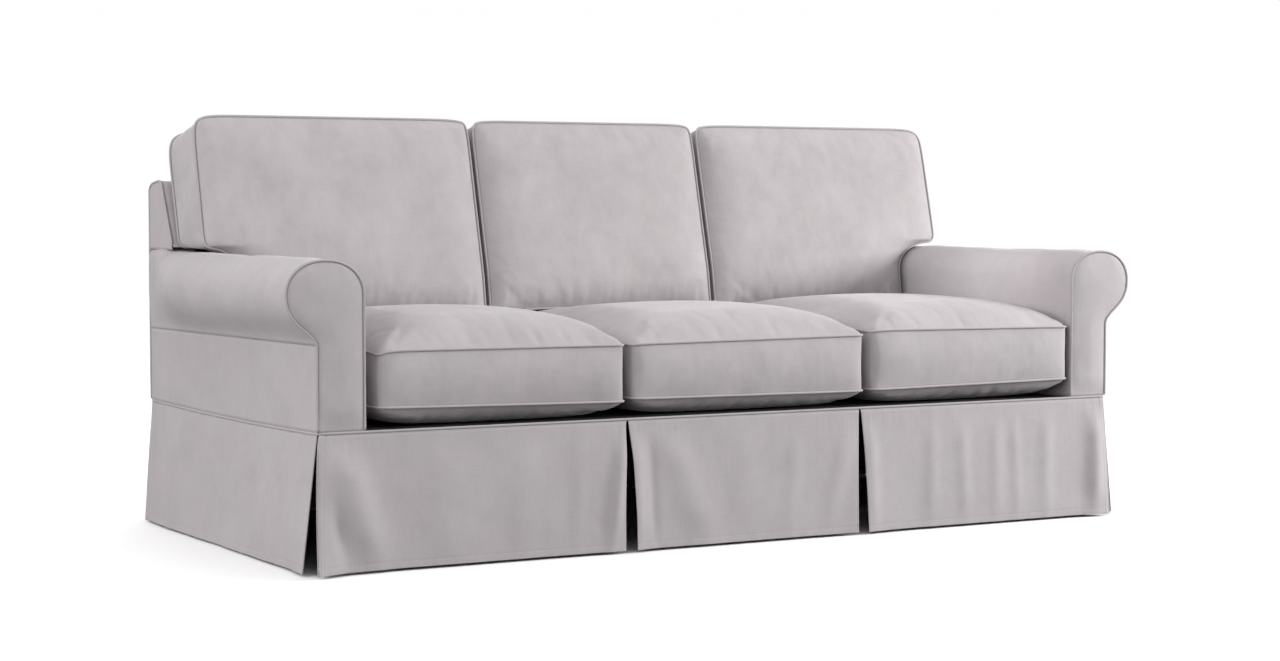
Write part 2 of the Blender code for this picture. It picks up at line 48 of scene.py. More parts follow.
EYE = {"place": (-2.9051, -5.1419, 0.7432), "down": 2.8783, "turned": 29.6379, "lens": 70.109}
eye = bpy.data.objects.new("eye", bpy.data.cameras.new("eye"))
eye.location = EYE["place"]
eye.rotation_euler = (math.radians(90 - EYE["down"]), 0, math.radians(-EYE["turned"]))
eye.data.sensor_fit = "HORIZONTAL"
eye.data.sensor_width = 36
eye.data.lens = EYE["lens"]
bpy.context.scene.collection.objects.link(eye)
bpy.context.scene.camera = eye
bpy.context.scene.view_settings.view_transform = "Standard"


class Thread:
    """A shader value. The usual signs add Math nodes, and node adds any other. A socket is given by its
    name, with _ for a space, or as _0, _1 by its number."""

    def __init__(self, tree, socket):
        self.tree, self.socket = tree, socket

    def node(self, kind, settings=None, **sockets):
        made = self.tree.nodes.new("ShaderNode" + kind)
        for key, value in (settings or {}).items():
            setattr(made, key, value)
        for key, value in sockets.items():
            slot = made.inputs[int(key[1:]) if key[0] == "_" else key.replace("_", " ")]
            if isinstance(value, Thread):
                self.tree.links.new(value.socket, slot)
            else:
                slot.default_value = value
        return made

    def out(self, kind, output, settings=None, **sockets):
        return Thread(self.tree, self.node(kind, settings, **sockets).outputs[output])

    def sum(self, operation, first, second):
        return self.out("Math", 0, {"operation": operation}, _0=first, _1=second)

    def __add__(self, other):
        return self.sum("ADD", self, other)

    def __radd__(self, other):
        return self.sum("ADD", other, self)

    def __sub__(self, other):
        return self.sum("SUBTRACT", self, other)

    def __rsub__(self, other):
        return self.sum("SUBTRACT", other, self)

    def __mul__(self, other):
        return self.sum("MULTIPLY", self, other)

    def __rmul__(self, other):
        return self.sum("MULTIPLY", other, self)


CEILING_FALLS = 0.12  # how much less bright the room is straight above than at eye level
WALL_WHITE = (1.01, 1.005, 1.01, 1.0)
room = bpy.data.worlds.new("room")
room.use_nodes = True
bpy.context.scene.world = room
walls = room.node_tree.nodes["Background"]
walls.inputs["Color"].default_value = WALL_WHITE
looks = Thread(room.node_tree, room.node_tree.nodes.new("ShaderNodeTexCoord").outputs["Generated"])
height = looks.out("SeparateXYZ", 2, None, Vector=looks)
bright = 1.0 - height.sum("MAXIMUM", height, 0.0) * CEILING_FALLS
room.node_tree.links.new(bright.socket, walls.inputs["Strength"])


def soft_light(name, place, target, side, power, spread=180):
    """A square area light with sides of that length, facing its target, with a beam of spread degrees."""
    lamp = bpy.data.objects.new(name, bpy.data.lights.new(name, "AREA"))
    lamp.data.shape = "SQUARE"
    lamp.data.size = side
    lamp.data.energy = power
    lamp.data.spread = math.radians(spread)
    lamp.visible_camera = False
    lamp.location = place
    lamp.rotation_euler = (Vector(target) - Vector(place)).to_track_quat("-Z", "Y").to_euler()
    bpy.context.scene.collection.objects.link(lamp)


soft_light("low_window", (4.2, -2.5, 1.5), (0, 0, 0.45), 1.2, 218)
soft_light("left_screen", (-4.23, -1.13, 1.45), (0, 0, 0.45), 2.6, 74)
soft_light("behind", (0.4, 4.6, 2.6), (0, 0.4, 0.45), 2.6, 60)
soft_light("far_arm_beam", (-2.6, -0.45, 1.25), (0.9, -0.22, 0.62), 0.3, 0.34, spread=11)


FLOOR_HALF = 30
# The floor's glow starts on an oval about the cover, and has its strength at full times that oval.
FLOOR_GLOW = {"strength": 0.09, "across": 1.2, "deep": 0.7, "full": 2.2}


def ground(name, level, albedo, seen):
    """A wide plain floor. The white one is what the camera sees, and the grey one, just under it, is
    what throws light back up, so that the fronts aren't lit from below as by a mirror of paper.
    Away from the cover the white one glows a little, so that it meets the walls without a line."""
    mesh = bpy.data.meshes.new(name)
    corners = [(x * FLOOR_HALF, y * FLOOR_HALF, level) for x, y in ((-1, -1), (1, -1), (1, 1), (-1, 1))]
    mesh.from_pydata(corners, [], [(0, 1, 2, 3)])
    sheet = bpy.data.objects.new(name, mesh)
    bpy.context.scene.collection.objects.link(sheet)
    paper = bpy.data.materials.new(name)
    paper.use_nodes = True
    tree = paper.node_tree
    shader = tree.nodes["Principled BSDF"]
    shader.inputs["Base Color"].default_value = (albedo, albedo, albedo, 1)
    shader.inputs["Roughness"].default_value = 1.0
    shader.inputs["Specular IOR Level"].default_value = 0.0
    if seen:
        place = Thread(tree, tree.nodes.new("ShaderNodeTexCoord").outputs["Object"])
        ovals = (1 / FLOOR_GLOW["across"], 1 / FLOOR_GLOW["deep"], 0)
        stretched = place.out("VectorMath", 0, {"operation": "MULTIPLY"}, _0=place, _1=ovals)
        away = stretched.out("VectorMath", 1, {"operation": "LENGTH"}, _0=stretched)
        smooth, full = {"interpolation_type": "SMOOTHSTEP"}, FLOOR_GLOW["full"]
        glow = away.out("MapRange", 0, smooth, _0=away, _1=1.0, _2=full)
        tree.links.new(glow.socket, shader.inputs["Emission Color"])
        shader.inputs["Emission Strength"].default_value = FLOOR_GLOW["strength"]
    mesh.materials.append(paper)
    sheet.visible_camera = seen
    sheet.visible_diffuse = sheet.visible_glossy = not seen


ground("white_floor", 0.0, 1.0, True)
ground("grey_floor", -0.002, 0.30, False)


# ------------------------------------------------------------------ outside arms
# A flat panel below each scroll, from the seam under the scroll to the skirt's seam. Like every
# panel it is one layer of pale mauve-grey cotton, brushed on its right side, cut with the warp
# upright and sewn with small puckers along its seams.

POST_HALF = 1.0115  # middle of the sofa to the outside of an arm
ARM_INNER = 0.9085  # middle of the sofa to the inside of an arm
HALF_DEPTH = 0.5105
SKIRT_SEAM = 0.286
DECK_TOP = 0.2875
CLOTH = 0.0025
GAP = 0.0003
WELT = 0.0027
TRIM = 0.8 * WELT  # a panel stops this far from the line of its welt
SIDES = {"left": -1, "right": 1}
UNDER_SEAM = {"front": 0.462, "back": 0.455}
SIDE_SAG = 0.005  # how far the skirt's seam hangs down in the middle of a side
COTTON = {"grey": (0.400, 0.378, 0.382), "rosy": (0.409, 0.375, 0.387)}
GRAINS = {  # grains to the metre across and up the cloth, detail and roughness of each noise
    "clouds": (7.0, 6.0, 3.0, 0.55), "patches": (26.0, 20.0, 3.0, 0.6), "blush": (4.5, 5.5, 2.0, 0.5),
    "warp": (520.0, 16.0, 2.0, 0.5), "weft": (18.0, 560.0, 2.0, 0.5), "speck": (230.0, 230.0, 2.0, 0.5),
}
TONES = {"clouds": 0.16, "patches": 0.10, "threads": 0.07, "specks": 0.05}  # how far each changes the tone
BRUSHED = {"roughness": 0.86, "uneven": 0.12, "specular": 0.25, "sheen": 0.22, "sheen_roughness": 0.45}
WEAVE = {"warp": 260.0, "weft": 240.0, "wander": 0.6}  # threads to the metre, nearly
RELIEF = {"threads": 0.10, "slubs": 0.35, "nap": 0.9, "deep": 0.0012, "strength": 0.5}
SHEEN_TINT = (1.0, 0.96, 0.98, 1)


def brushed_cotton(name, tone=1.0, nap=1.0):
    """Pale mauve-grey cotton with a short brushed nap: soft clouds of tone a hand wide where the nap
    lies differently, faint slubs along the warp and weft, and a plain weave under the nap.

    It follows the cut cloth by its own UV map, in metres. tone is how light it is and nap how
    strongly the clouds show.
    """
    made = bpy.data.materials.new(name)
    made.use_nodes = True
    tree = made.node_tree
    shader = tree.nodes["Principled BSDF"]
    uv = tree.nodes.new("ShaderNodeUVMap")
    uv.uv_map = "cloth"
    cloth = Thread(tree, uv.outputs["UV"])
    noise = {}
    for grain, (across, up, detail, roughness) in GRAINS.items():
        at = cloth.out("Mapping", 0, None, Vector=cloth, Scale=(across, up, 1.0))
        noise[grain] = cloth.out(
            "TexNoise", 0, {"noise_dimensions": "2D"},
            Vector=at, Scale=1.0, Detail=detail, Roughness=roughness,
        )
    slubs = noise["warp"] + noise["weft"]
    brushing = (noise["clouds"] - 0.5) * TONES["clouds"] + (noise["patches"] - 0.5) * TONES["patches"]
    light = 1.0 + nap * brushing + (slubs - 1.0) * TONES["threads"]
    light = light + (noise["speck"] - 0.5) * TONES["specks"]
    grey, rosy = ((*[part * tone for part in COTTON[shade]], 1) for shade in ("grey", "rosy"))
    dyed = cloth.out("Mix", 2, {"data_type": "RGBA"}, Factor=noise["blush"], A=grey, B=rosy)
    shade = cloth.out("CombineXYZ", 0, None, X=light, Y=light, Z=light)
    tinted = cloth.out("VectorMath", 0, {"operation": "MULTIPLY"}, _0=dyed, _1=shade)
    tree.links.new(tinted.socket, shader.inputs["Base Color"])
    rough = BRUSHED["roughness"] + (noise["clouds"] - 0.5) * BRUSHED["uneven"]
    tree.links.new(rough.socket, shader.inputs["Roughness"])
    shader.inputs["Specular IOR Level"].default_value = BRUSHED["specular"]
    shader.inputs["Sheen Weight"].default_value = BRUSHED["sheen"]
    shader.inputs["Sheen Roughness"].default_value = BRUSHED["sheen_roughness"]
    shader.inputs["Sheen Tint"].default_value = SHEEN_TINT
    wander = WEAVE["wander"]
    warp, weft = (
        cloth.out("TexWave", 1, {"bands_direction": way}, Vector=cloth, Scale=WEAVE[of], Distortion=wander)
        for way, of in (("X", "warp"), ("Y", "weft"))
    )
    surface = (warp + weft) * RELIEF["threads"] + slubs * RELIEF["slubs"] + noise["patches"] * RELIEF["nap"]
    bump = cloth.out("Bump", 0, None, Strength=RELIEF["strength"], Distance=RELIEF["deep"], Height=surface)
    tree.links.new(bump.socket, shader.inputs["Normal"])
    return made


def eased(value, start, end):
    """0 before start, 1 after end, and an even S between."""
    share = np.clip((value - start) / (end - start), 0.0, 1.0)
    return share * share * (3 - 2 * share)


def between(first, last, share):
    """The value that share of the way from first to last: first + (last - first) * share."""
    return first + (last - first) * share


def uneven(x, y, size, seed):
    """A smooth random surface from about -1 to 1 with swells of about that size: the sum of sixteen
    cosines of random direction, length and phase, over four."""
    chance = np.random.default_rng(seed)
    turn, phase = chance.uniform(0, 2 * math.pi, (2, 16))
    pitch = 2 * math.pi / size * chance.uniform(0.5, 1.3, 16)
    across, up = np.asarray(x)[..., None], np.asarray(y)[..., None]
    return np.cos(across * pitch * np.cos(turn) + up * pitch * np.sin(turn) + phase).sum(-1) / 4


def soft_folds(x, y, folds):
    """Soft creases in the flat cloth. Each runs from one place to another as a ridge (or, where high
    is below 0, a trough) of bell-shaped section, high * exp(-(away / wide)^2), and fades to its ends."""
    total = np.zeros(np.broadcast(x, y).shape)
    for fold in folds:
        run = np.array([fold["x1"] - fold["x0"], fold["y1"] - fold["y0"]])
        long = np.hypot(*run)
        run = run / long
        share = ((x - fold["x0"]) * run[0] + (y - fold["y0"]) * run[1]) / long
        away = (x - fold["x0"]) * run[1] - (y - fold["y0"]) * run[0]
        away = away - fold.get("bow", 0.0) * 4 * share * (1 - share)
        fades = eased(share, -0.12, 0.3) * (1 - eased(share, 0.65, 1.12))
        total += fold["high"] * np.exp(-((away / fold["wide"]) ** 2)) * fades
    return total


def puckers(along, away, deep, seed, reach=0.012):
    """The small ripples that a seam draws into the cloth: uneven along it, highest a little way in
    and gone after about four times reach."""
    return deep * uneven(along, 0 * along + seed, 0.016, seed) * away / reach * np.exp(1 - away / reach)


def outward_of(places):
    """Unit normals of a grid of places: the first direction crossed with the second."""
    normal = np.cross(np.gradient(places, axis=0), np.gradient(places, axis=1))
    return normal / np.maximum(np.linalg.norm(normal, axis=2, keepdims=True), 1e-12)


def mesh_of(name, places, faces, flat, material):
    """A mesh piece from its places, its quads and the flat place of each quad's corners."""
    mesh = bpy.data.meshes.new(name)
    mesh.vertices.add(len(places))
    mesh.vertices.foreach_set("co", places.astype(np.float32).ravel())
    mesh.loops.add(faces.size)
    mesh.loops.foreach_set("vertex_index", faces.astype(np.int32).ravel())
    mesh.polygons.add(len(faces))
    mesh.polygons.foreach_set("loop_start", np.arange(0, faces.size, 4, dtype=np.int32))
    mesh.update(calc_edges=True)
    mesh.uv_layers.new(name="cloth").data.foreach_set("uv", flat.astype(np.float32).ravel())
    mesh.shade_smooth()
    mesh.materials.append(material)
    thing = bpy.data.objects.new(name, mesh)
    bpy.context.scene.collection.objects.link(thing)
    return thing


def stands_for(piece, node):
    """The piece rides on the cover and takes the place of a solid."""
    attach(piece, "root")
    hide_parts(node)
    return piece


def table(columns, *rows):
    """The rows of a table, each as a dict with the columns' names."""
    return [dict(zip(columns.split(), row)) for row in rows]


def panel(node, places, flat, height, turned, material=None):
    """One layer of cloth over a grid of places, given as x, y and z, raised by height along its
    normals, with its thickness behind. flat is where each place is on the cut cloth, as two grids,
    and turned says that the grid's rows run the other way."""
    places, flat = (np.stack(np.broadcast_arrays(*values), axis=2) for values in (places, flat))
    places, flat, height = (grid[::-1] if turned else grid for grid in (places, flat, height))
    raised = places + outward_of(places) * height[..., None]
    rows, columns = height.shape
    corner = (np.arange(rows - 1)[:, None] * columns + np.arange(columns - 1)).ravel()
    faces = corner[:, None] + np.array([0, columns, columns + 1, 1])
    shift = np.random.default_rng(sum(node.encode())).uniform(0, 5, 2)
    flat = (flat + shift).reshape(-1, 2)[faces]
    made = mesh_of(node + "_cloth", raised.reshape(-1, 3), faces, flat, material or panel_cotton)
    body = made.modifiers.new("thickness", "SOLIDIFY")
    body.thickness = CLOTH
    body.offset = -1.0
    body.use_even_offset = False
    stands_for(made, node)
    return made


def under_seam(depth):
    """The height of the seam under a scroll: a straight line from its front end to its back end."""
    return between(UNDER_SEAM["front"], UNDER_SEAM["back"], (depth / HALF_DEPTH + 1) / 2)


def side_sag(depth):
    """How far the skirt's seam hangs down along a side: nothing at its ends, SIDE_SAG in the middle."""
    return SIDE_SAG * (1 - (depth / HALF_DEPTH) ** 2)


panel_cotton = brushed_cotton("brushed_cotton")
OUTSIDE_ARM_GRID = (150, 25)
OUTSIDE_ARM_SURFACE = {"swells": 0.0012, "swell_size": 0.30, "puckers": 0.00035, "flat_edge": 0.05}
FOLD_COLUMNS = "x0 y0 x1 y1 wide high"
OUTSIDE_ARM_FOLDS = table(
    FOLD_COLUMNS,
    (0.10, 0.02, 0.34, 0.15, 0.030, 0.0010),
    (0.62, 0.15, 0.95, 0.03, 0.040, -0.0012),
    (0.30, 0.04, 0.75, 0.09, 0.028, 0.0010),
)
for where, side in SIDES.items():
    depth = np.linspace(TRIM - HALF_DEPTH, HALF_DEPTH - TRIM, OUTSIDE_ARM_GRID[0])[:, None]
    share = np.linspace(0, 1, OUTSIDE_ARM_GRID[1])[None, :]
    under = under_seam(depth)
    low = SKIRT_SEAM + TRIM - side_sag(depth)
    rise = between(low, under, share)
    depth = depth + 0 * share
    surface = OUTSIDE_ARM_SURFACE
    height = surface["swells"] * uneven(depth, rise, surface["swell_size"], 11 + side)
    height += soft_folds(depth + HALF_DEPTH, rise - SKIRT_SEAM, OUTSIDE_ARM_FOLDS)
    from_edge = np.minimum(np.minimum(rise - low, under - rise), HALF_DEPTH - np.abs(depth))
    height *= eased(from_edge, 0, surface["flat_edge"])
    height += puckers(depth, rise - low, surface["puckers"], 5 + side)
    height += puckers(depth, under - rise, surface["puckers"], 7 + side)
    panel(
        f"outside_arm_{where}", (side * POST_HALF, depth, rise), (depth, rise), height, side < 0,
    )


# ------------------------------------------------------------------ arm fronts
# The keyhole-shaped panel of each arm, of the same cotton, laid over a thin wadding that lifts its
# middle, and set in with a welt between it and the panels beside it.

SCROLL_HEIGHT = 0.562
SCROLL_FRONT = {"out": 1.0775, "top": 0.633, "square": 0.92}
SCROLL_BACK = {"out": 1.0155, "square": 0.30}
SCROLL_FADES = (0.20, 0.51)


def scroll(turn, out, tall, square):
    """The rounded arch of the scroll, as x and z, for angles from 180 degrees inside to 0 outside: the
    cosine across and the sine up, each to the power square, which is 1 for an ellipse."""
    middle, half = (ARM_INNER + out) / 2, (out - ARM_INNER) / 2
    sideways = np.sign(np.cos(turn)) * np.abs(np.cos(turn)) ** square
    return middle + half * sideways, SCROLL_HEIGHT + tall * np.maximum(np.sin(turn), 0) ** square


def under_scroll(share, out, seam):
    """The hollow below the scroll, from its widest point in to the post: a cubic curve."""
    keep = 1 - share
    sideways = keep**3 + 3 * keep**2 * share + 3 * keep * share**2 * 0.1
    down = 3 * keep**2 * share * 0.6 + 3 * keep * share**2 * 0.7 + share**3
    return POST_HALF + (out - POST_HALF) * sideways, SCROLL_HEIGHT + (seam + GAP - SCROLL_HEIGHT) * down


def drawn_in(line, distance):
    """An open line of points moved to its right-hand side by that distance."""
    run = np.gradient(line, axis=0)
    run = run / np.linalg.norm(run, axis=1, keepdims=True)
    return line + distance * np.stack([run[:, 1], -run[:, 0]], axis=1)


def filled(line, crest, columns, rows):
    """A grid between the two flanks of an outline that rises to its crest and falls again: rows of
    places from one flank to the other at equal heights, closer together near the crest."""
    left, right = line[: crest + 1], line[crest:][::-1]
    low, top = max(left[0, 1], right[0, 1]), line[crest, 1]
    level = low + (top - low) * np.sin(np.linspace(0, math.pi / 2, rows))
    level = np.minimum(level, top - 1e-5)
    start = np.interp(level, left[:, 1], left[:, 0])
    end = np.interp(level, right[:, 1], right[:, 0])
    share = (1 - np.cos(np.linspace(0, math.pi, columns))) / 2
    return between(start, end, share[:, None]), level + 0 * share[:, None], start, end


def arm_outline():
    """The line of the welt round the front of an arm, up its inside, over and down its outside."""
    tall = SCROLL_FRONT["top"] - SCROLL_HEIGHT
    over = scroll(np.linspace(math.pi, 0, 61), SCROLL_FRONT["out"], tall, SCROLL_FRONT["square"])
    below = under_scroll(np.linspace(0, 1, 25)[1:], SCROLL_FRONT["out"], UNDER_SEAM["front"])
    wall = np.linspace(SKIRT_SEAM + TRIM, SCROLL_HEIGHT, 40)[:-1]
    post = np.linspace(UNDER_SEAM["front"], SKIRT_SEAM + TRIM, 26)[1:]
    x = np.concatenate([ARM_INNER + 0 * wall, over[0], below[0], POST_HALF + 0 * post])
    z = np.concatenate([wall, over[1], below[1], post])
    return np.stack([x, z], axis=1)


ARM_FRONT_GRID = (30, 90)
# How far the front of an arm is padded out, and how uneven its wadding is.
PADDING = {"high": 0.010, "reach": 0.030, "swells": 0.0006, "swell_size": 0.09, "level_foot": 0.05}
for where, side in SIDES.items():
    outline = drawn_in(arm_outline(), WELT + 2 * GAP)
    x, z, start, end = filled(outline, int(outline[:, 1].argmax()), *ARM_FRONT_GRID)
    from_edge = np.minimum(np.minimum(x - start, end - x), outline[:, 1].max() - z)
    height = PADDING["high"] * (1 - np.exp(-np.maximum(from_edge, 0) / PADDING["reach"]))
    swells = PADDING["swells"] * uneven(x, z, PADDING["swell_size"], 21 + side)
    height += swells * eased(from_edge, 0, 0.02)
    height *= eased(z, SKIRT_SEAM, SKIRT_SEAM + PADDING["level_foot"])
    panel(
        f"arm_front_{where}", (side * x, -HALF_DEPTH, z), (x, z), height, side < 0,
    )


# ------------------------------------------------------------------ inside arms
# One long panel of the same cotton up the inside of each arm, over the scroll and under it to the
# seam. Behind, the scroll draws in to meet the back.

FRONT_RISE = {"start": -0.51, "end": -0.42, "height": 0.0035}
BACK_RISE = {"start": 0.34, "end": 0.42, "height": 0.0085}
INSIDE_ARM_SURFACE = {
    "swells": 0.0010, "swell_size": 0.22, "dents": 0.0004, "dent_size": 0.07, "flat_edge": 0.05,
    "front_puckers": 0.0004, "seam_puckers": 0.00035,
}
INSIDE_ARM_FOLDS = table(
    FOLD_COLUMNS,
    (0.22, 0.02, 0.40, 0.09, 0.012, 0.0007),
    (0.46, 0.30, 0.50, 0.62, 0.020, -0.0010),
    (0.50, 0.66, 0.40, 0.90, 0.022, 0.0012),
)


def distance_along(line):
    """How far along a line of points each of them is: the running sum of the steps between them."""
    return np.concatenate([[0], np.cumsum(np.linalg.norm(np.diff(line, axis=0), axis=1))])


for where, side in SIDES.items():
    depth = np.linspace(TRIM - HALF_DEPTH, HALF_DEPTH - TRIM, 122)[None, :]
    fade = eased(depth, *SCROLL_FADES)
    out, square = (between(SCROLL_FRONT[key], SCROLL_BACK[key], fade) for key in ("out", "square"))
    top = SCROLL_FRONT["top"] + sum(
        rise["height"] * eased(depth, rise["start"], rise["end"]) for rise in (FRONT_RISE, BACK_RISE)
    )
    wall = np.linspace(DECK_TOP + GAP, SCROLL_HEIGHT, 30)[:-1, None] + 0 * depth
    over = scroll(np.linspace(math.pi, 0, 37)[:, None], out, top - SCROLL_HEIGHT, square)
    below = under_scroll(np.linspace(0, 1, 15)[1:, None], out, under_seam(depth))
    x = np.concatenate([ARM_INNER + 0 * wall, over[0], below[0]])
    z = np.concatenate([wall, over[1], below[1]])
    y = depth + 0 * x
    around = distance_along(np.stack([x[:, 0], z[:, 0]], axis=1))[:, None] + 0 * y
    from_edge = np.minimum(np.minimum(around, around.max() - around), HALF_DEPTH - TRIM - np.abs(y))
    surface = INSIDE_ARM_SURFACE
    height = surface["swells"] * uneven(around, y, surface["swell_size"], 31 + side)
    height += surface["dents"] * uneven(around, y, surface["dent_size"], 33 + side)
    height += soft_folds(around, y + HALF_DEPTH, INSIDE_ARM_FOLDS)
    height *= eased(from_edge, 0, surface["flat_edge"])
    height += puckers(around, y + HALF_DEPTH - TRIM, surface["front_puckers"], 35 + side)
    height += puckers(y, around.max() - around, surface["seam_puckers"], 37 + side)
    height *= eased(HALF_DEPTH - TRIM - y, 0.0, 0.02)
    panel(
        f"inside_arm_{where}", (side * x, y, z), (y, around), height, side < 0,
    )


# ------------------------------------------------------------------ back and deck
# The inside back runs up from the deck, widens over the arms and wraps over the top; the outside
# back hangs flat from it, and a gusset closes each end. The deck, which lies under the seat cushions
# and shows only as a black gap, is the same cotton darkened nearly to black and without sheen: painted
# shade for the shadow under the cushions.

BACK_FOOT = (0.318, DECK_TOP + GAP)
BACK_KNEE = (0.352, 0.648)  # where the back widens over the arms
UNDER_KNEE = (BACK_KNEE[0] - 0.0006, BACK_KNEE[1] - 0.0018)
GUSSET_FOOT = (BACK_KNEE[0] + 0.0015, BACK_KNEE[1] + WELT)
BACK_EDGE = (0.4235, 0.7905)  # where its lean ends and it turns over the top
OUTSIDE_BACK_TOP = 0.768
INSIDE_BACK_SURFACE = {"swells": 0.0012, "swell_size": 0.35, "flat_edge": 0.05, "flat_side": 0.03}
OUTSIDE_BACK_SURFACE = {"swells": 0.0022, "swell_size": 0.45, "puckers": 0.0004, "flat_edge": 0.08}
GUSSET_PADDING = {"high": 0.0012, "reach": 0.012}
DECK_HOLLOWS = {"deep": 0.0006, "size": 0.25, "flat_edge": (0.02, 0.08)}
TUCKED = 0.007  # how far a gusset runs down behind the top of the arm
OVER_BACK = (
    (0.38775, 0.71925), (0.4118, 0.7673), (0.4175, 0.7785), BACK_EDGE, (0.428, 0.795), (0.467, 0.7965),
    (0.4985, 0.7895), (0.507, 0.7835), (HALF_DEPTH, 0.7765), (HALF_DEPTH, 0.7683),
)


def through(points, count):
    """A smooth line through the points, evenly stepped: a Catmull-Rom curve by its length."""
    points = np.array(points, float)
    at = distance_along(points)
    step = np.linspace(0, at[-1], count)
    slope = np.gradient(points, at, axis=0)
    i = np.clip(np.searchsorted(at, step, side="right") - 1, 0, len(at) - 2)
    long = (at[i + 1] - at[i])[:, None]
    t = (step[:, None] - at[i][:, None]) / long
    return (
        (2 * t**3 - 3 * t**2 + 1) * points[i] + (t**3 - 2 * t**2 + t) * long * slope[i]
        + (3 * t**2 - 2 * t**3) * points[i + 1] + (t**3 - t**2) * long * slope[i + 1]
    )


lower = np.linspace(BACK_FOOT, UNDER_KNEE, 24)
upper = np.concatenate([[BACK_KNEE], through(OVER_BACK, 40)])
line = np.concatenate([lower, upper])
half = np.concatenate([0 * lower[:, 0] + ARM_INNER - GAP, 0 * upper[:, 0] + POST_HALF - TRIM])
across = np.linspace(-1, 1, 150)[:, None]
x = across * half
up = distance_along(line) + 0 * x
surface = INSIDE_BACK_SURFACE
height = surface["swells"] * uneven(x, up, surface["swell_size"], 41)
height *= eased(np.minimum(up, up.max() - up), 0, surface["flat_edge"])
height *= eased(half - np.abs(x), 0, surface["flat_side"])
panel("inside_back", (x, *line.T), (x, up), height, False)

x = np.linspace(POST_HALF - TRIM, TRIM - POST_HALF, 150)[:, None]
z = np.linspace(SKIRT_SEAM + TRIM, OUTSIDE_BACK_TOP, 40)[None, :]
x, z = x + 0 * z, z + 0 * x
from_edge = np.minimum(np.minimum(z - z.min(), z.max() - z), x.max() - np.abs(x))
surface = OUTSIDE_BACK_SURFACE
height = surface["swells"] * uneven(x, z, surface["swell_size"], 43)
height *= eased(from_edge, 0, surface["flat_edge"])
height += puckers(x, z - z.min(), surface["puckers"], 45) + puckers(x, z.max() - z, surface["puckers"], 46)
panel("outside_back", (x, HALF_DEPTH, z), (x, z), height, False)

for where, side in SIDES.items():
    rim = np.concatenate([
        np.linspace(GUSSET_FOOT, OVER_BACK[0], 20)[:-1], through(OVER_BACK, 60),
        np.linspace((HALF_DEPTH, OUTSIDE_BACK_TOP), (HALF_DEPTH, GUSSET_FOOT[1]), 20)[1:],
    ])
    outline = drawn_in(rim, TRIM)
    y, z, start, end = filled(outline, int(outline[:, 1].argmax()), 24, 40)
    z = z + (BACK_KNEE[1] - TUCKED - z.min()) * (1 - eased(z, z.min(), z.min() + 0.05))
    from_edge = np.minimum(np.minimum(y - start, end - y), outline[:, 1].max() - z)
    height = GUSSET_PADDING["high"] * (1 - np.exp(-np.maximum(from_edge, 0) / GUSSET_PADDING["reach"]))
    height *= eased(z, z.min(), z.min() + 0.03)
    panel(
        f"back_gusset_{where}", (side * POST_HALF, y, z), (y, z), height, side < 0,
    )

# Painted shade: the deck's cotton is darkened nearly to black, for the shadow in the gap under the seat
# cushions.
deck_cotton_painted_shade = brushed_cotton("deck_cotton_with_painted_shade", tone=0.09)
deck_cotton_painted_shade.node_tree.nodes["Principled BSDF"].inputs["Sheen Weight"].default_value = 0.0
x = np.linspace(GAP - ARM_INNER, ARM_INNER - GAP, 91)[:, None]
y = np.linspace(TRIM - HALF_DEPTH, BACK_FOOT[0], 43)[None, :]
x, y = x + 0 * y, y + 0 * x
from_edge = np.minimum(np.minimum(y - y.min(), y.max() - y), x.max() - np.abs(x))
height = -DECK_HOLLOWS["deep"] * (1 + uneven(x, y, DECK_HOLLOWS["size"], 47))
height *= eased(from_edge, *DECK_HOLLOWS["flat_edge"])
panel(
    "deck", (x, y, DECK_TOP), (x, y), height, False,
    material=deck_cotton_painted_shade,
)


# ------------------------------------------------------------------ welts of the cover
# A cotton cord in a strip of the same cloth cut on the bias, sewn into the seam round each arm
# front, round each end of the back, and all round where the skirt hangs.

WELT_STEP = 0.006  # between the points along a cord
BIAS = np.array([[0.7071, 0.7071], [-0.7071, 0.7071]])  # the weave runs at 45 degrees to the cord


def cord_welt(node, path, across, closed=False, radius=WELT, steps=8):
    """A covered cord along a path: rings of points about it, in the plane of the normal of its run.

    across is a direction that is never along the run. An open welt is drawn to a point at its ends.
    """
    along = np.roll(path, -1, axis=0) - np.roll(path, 1, axis=0) if closed else np.gradient(path, axis=0)
    along = along / np.linalg.norm(along, axis=1, keepdims=True)
    first = np.cross(along, across)
    first = first / np.linalg.norm(first, axis=1, keepdims=True)
    second = np.cross(first, along)
    length = distance_along(path)
    wide = radius * (1 + 0.035 * uneven(length, 0 * length, 0.05, len(path)))
    if not closed:
        wide[[0, -1]] = radius * 0.05
    angle = 2 * math.pi * np.arange(steps) / steps
    ring = np.cos(angle)[None, :, None] * first[:, None] + np.sin(angle)[None, :, None] * second[:, None]
    places = path[:, None] + wide[:, None, None] * ring
    count = len(path)
    i = np.arange(count if closed else count - 1)[:, None]
    j = np.arange(steps)[None, :]
    next_i, next_j = (i + 1) % count, (j + 1) % steps
    quad = ((i, j), (i, next_j), (next_i, next_j), (next_i, j))
    faces = np.stack([around * steps + place for around, place in quad], axis=2)
    length = np.append(length, length[-1] + np.linalg.norm(path[0] - path[-1]))
    turn = 2 * math.pi * radius / steps
    round_quad = ((0, 0), (0, 1), (1, 1), (1, 0))
    flat = [np.stack([(j + b) * turn + 0 * i, length[i + a] + 0 * j], axis=2) for a, b in round_quad]
    flat = (np.stack(flat, axis=2) @ BIAS).reshape(-1, 4, 2)
    made = mesh_of(node + "_cord", places.reshape(-1, 3), faces.reshape(-1, 4), flat, welt_cotton)
    return stands_for(made, node)


def evenly(path, closed=False):
    """The path again with its points about WELT_STEP apart."""
    path = np.concatenate([path, path[:1]]) if closed else path
    at = distance_along(path)
    new = np.linspace(0, at[-1], max(3, round(at[-1] / WELT_STEP)) + 1)
    new = new[:-1] if closed else new
    return np.stack([np.interp(new, at, path[:, k]) for k in range(3)], axis=1)


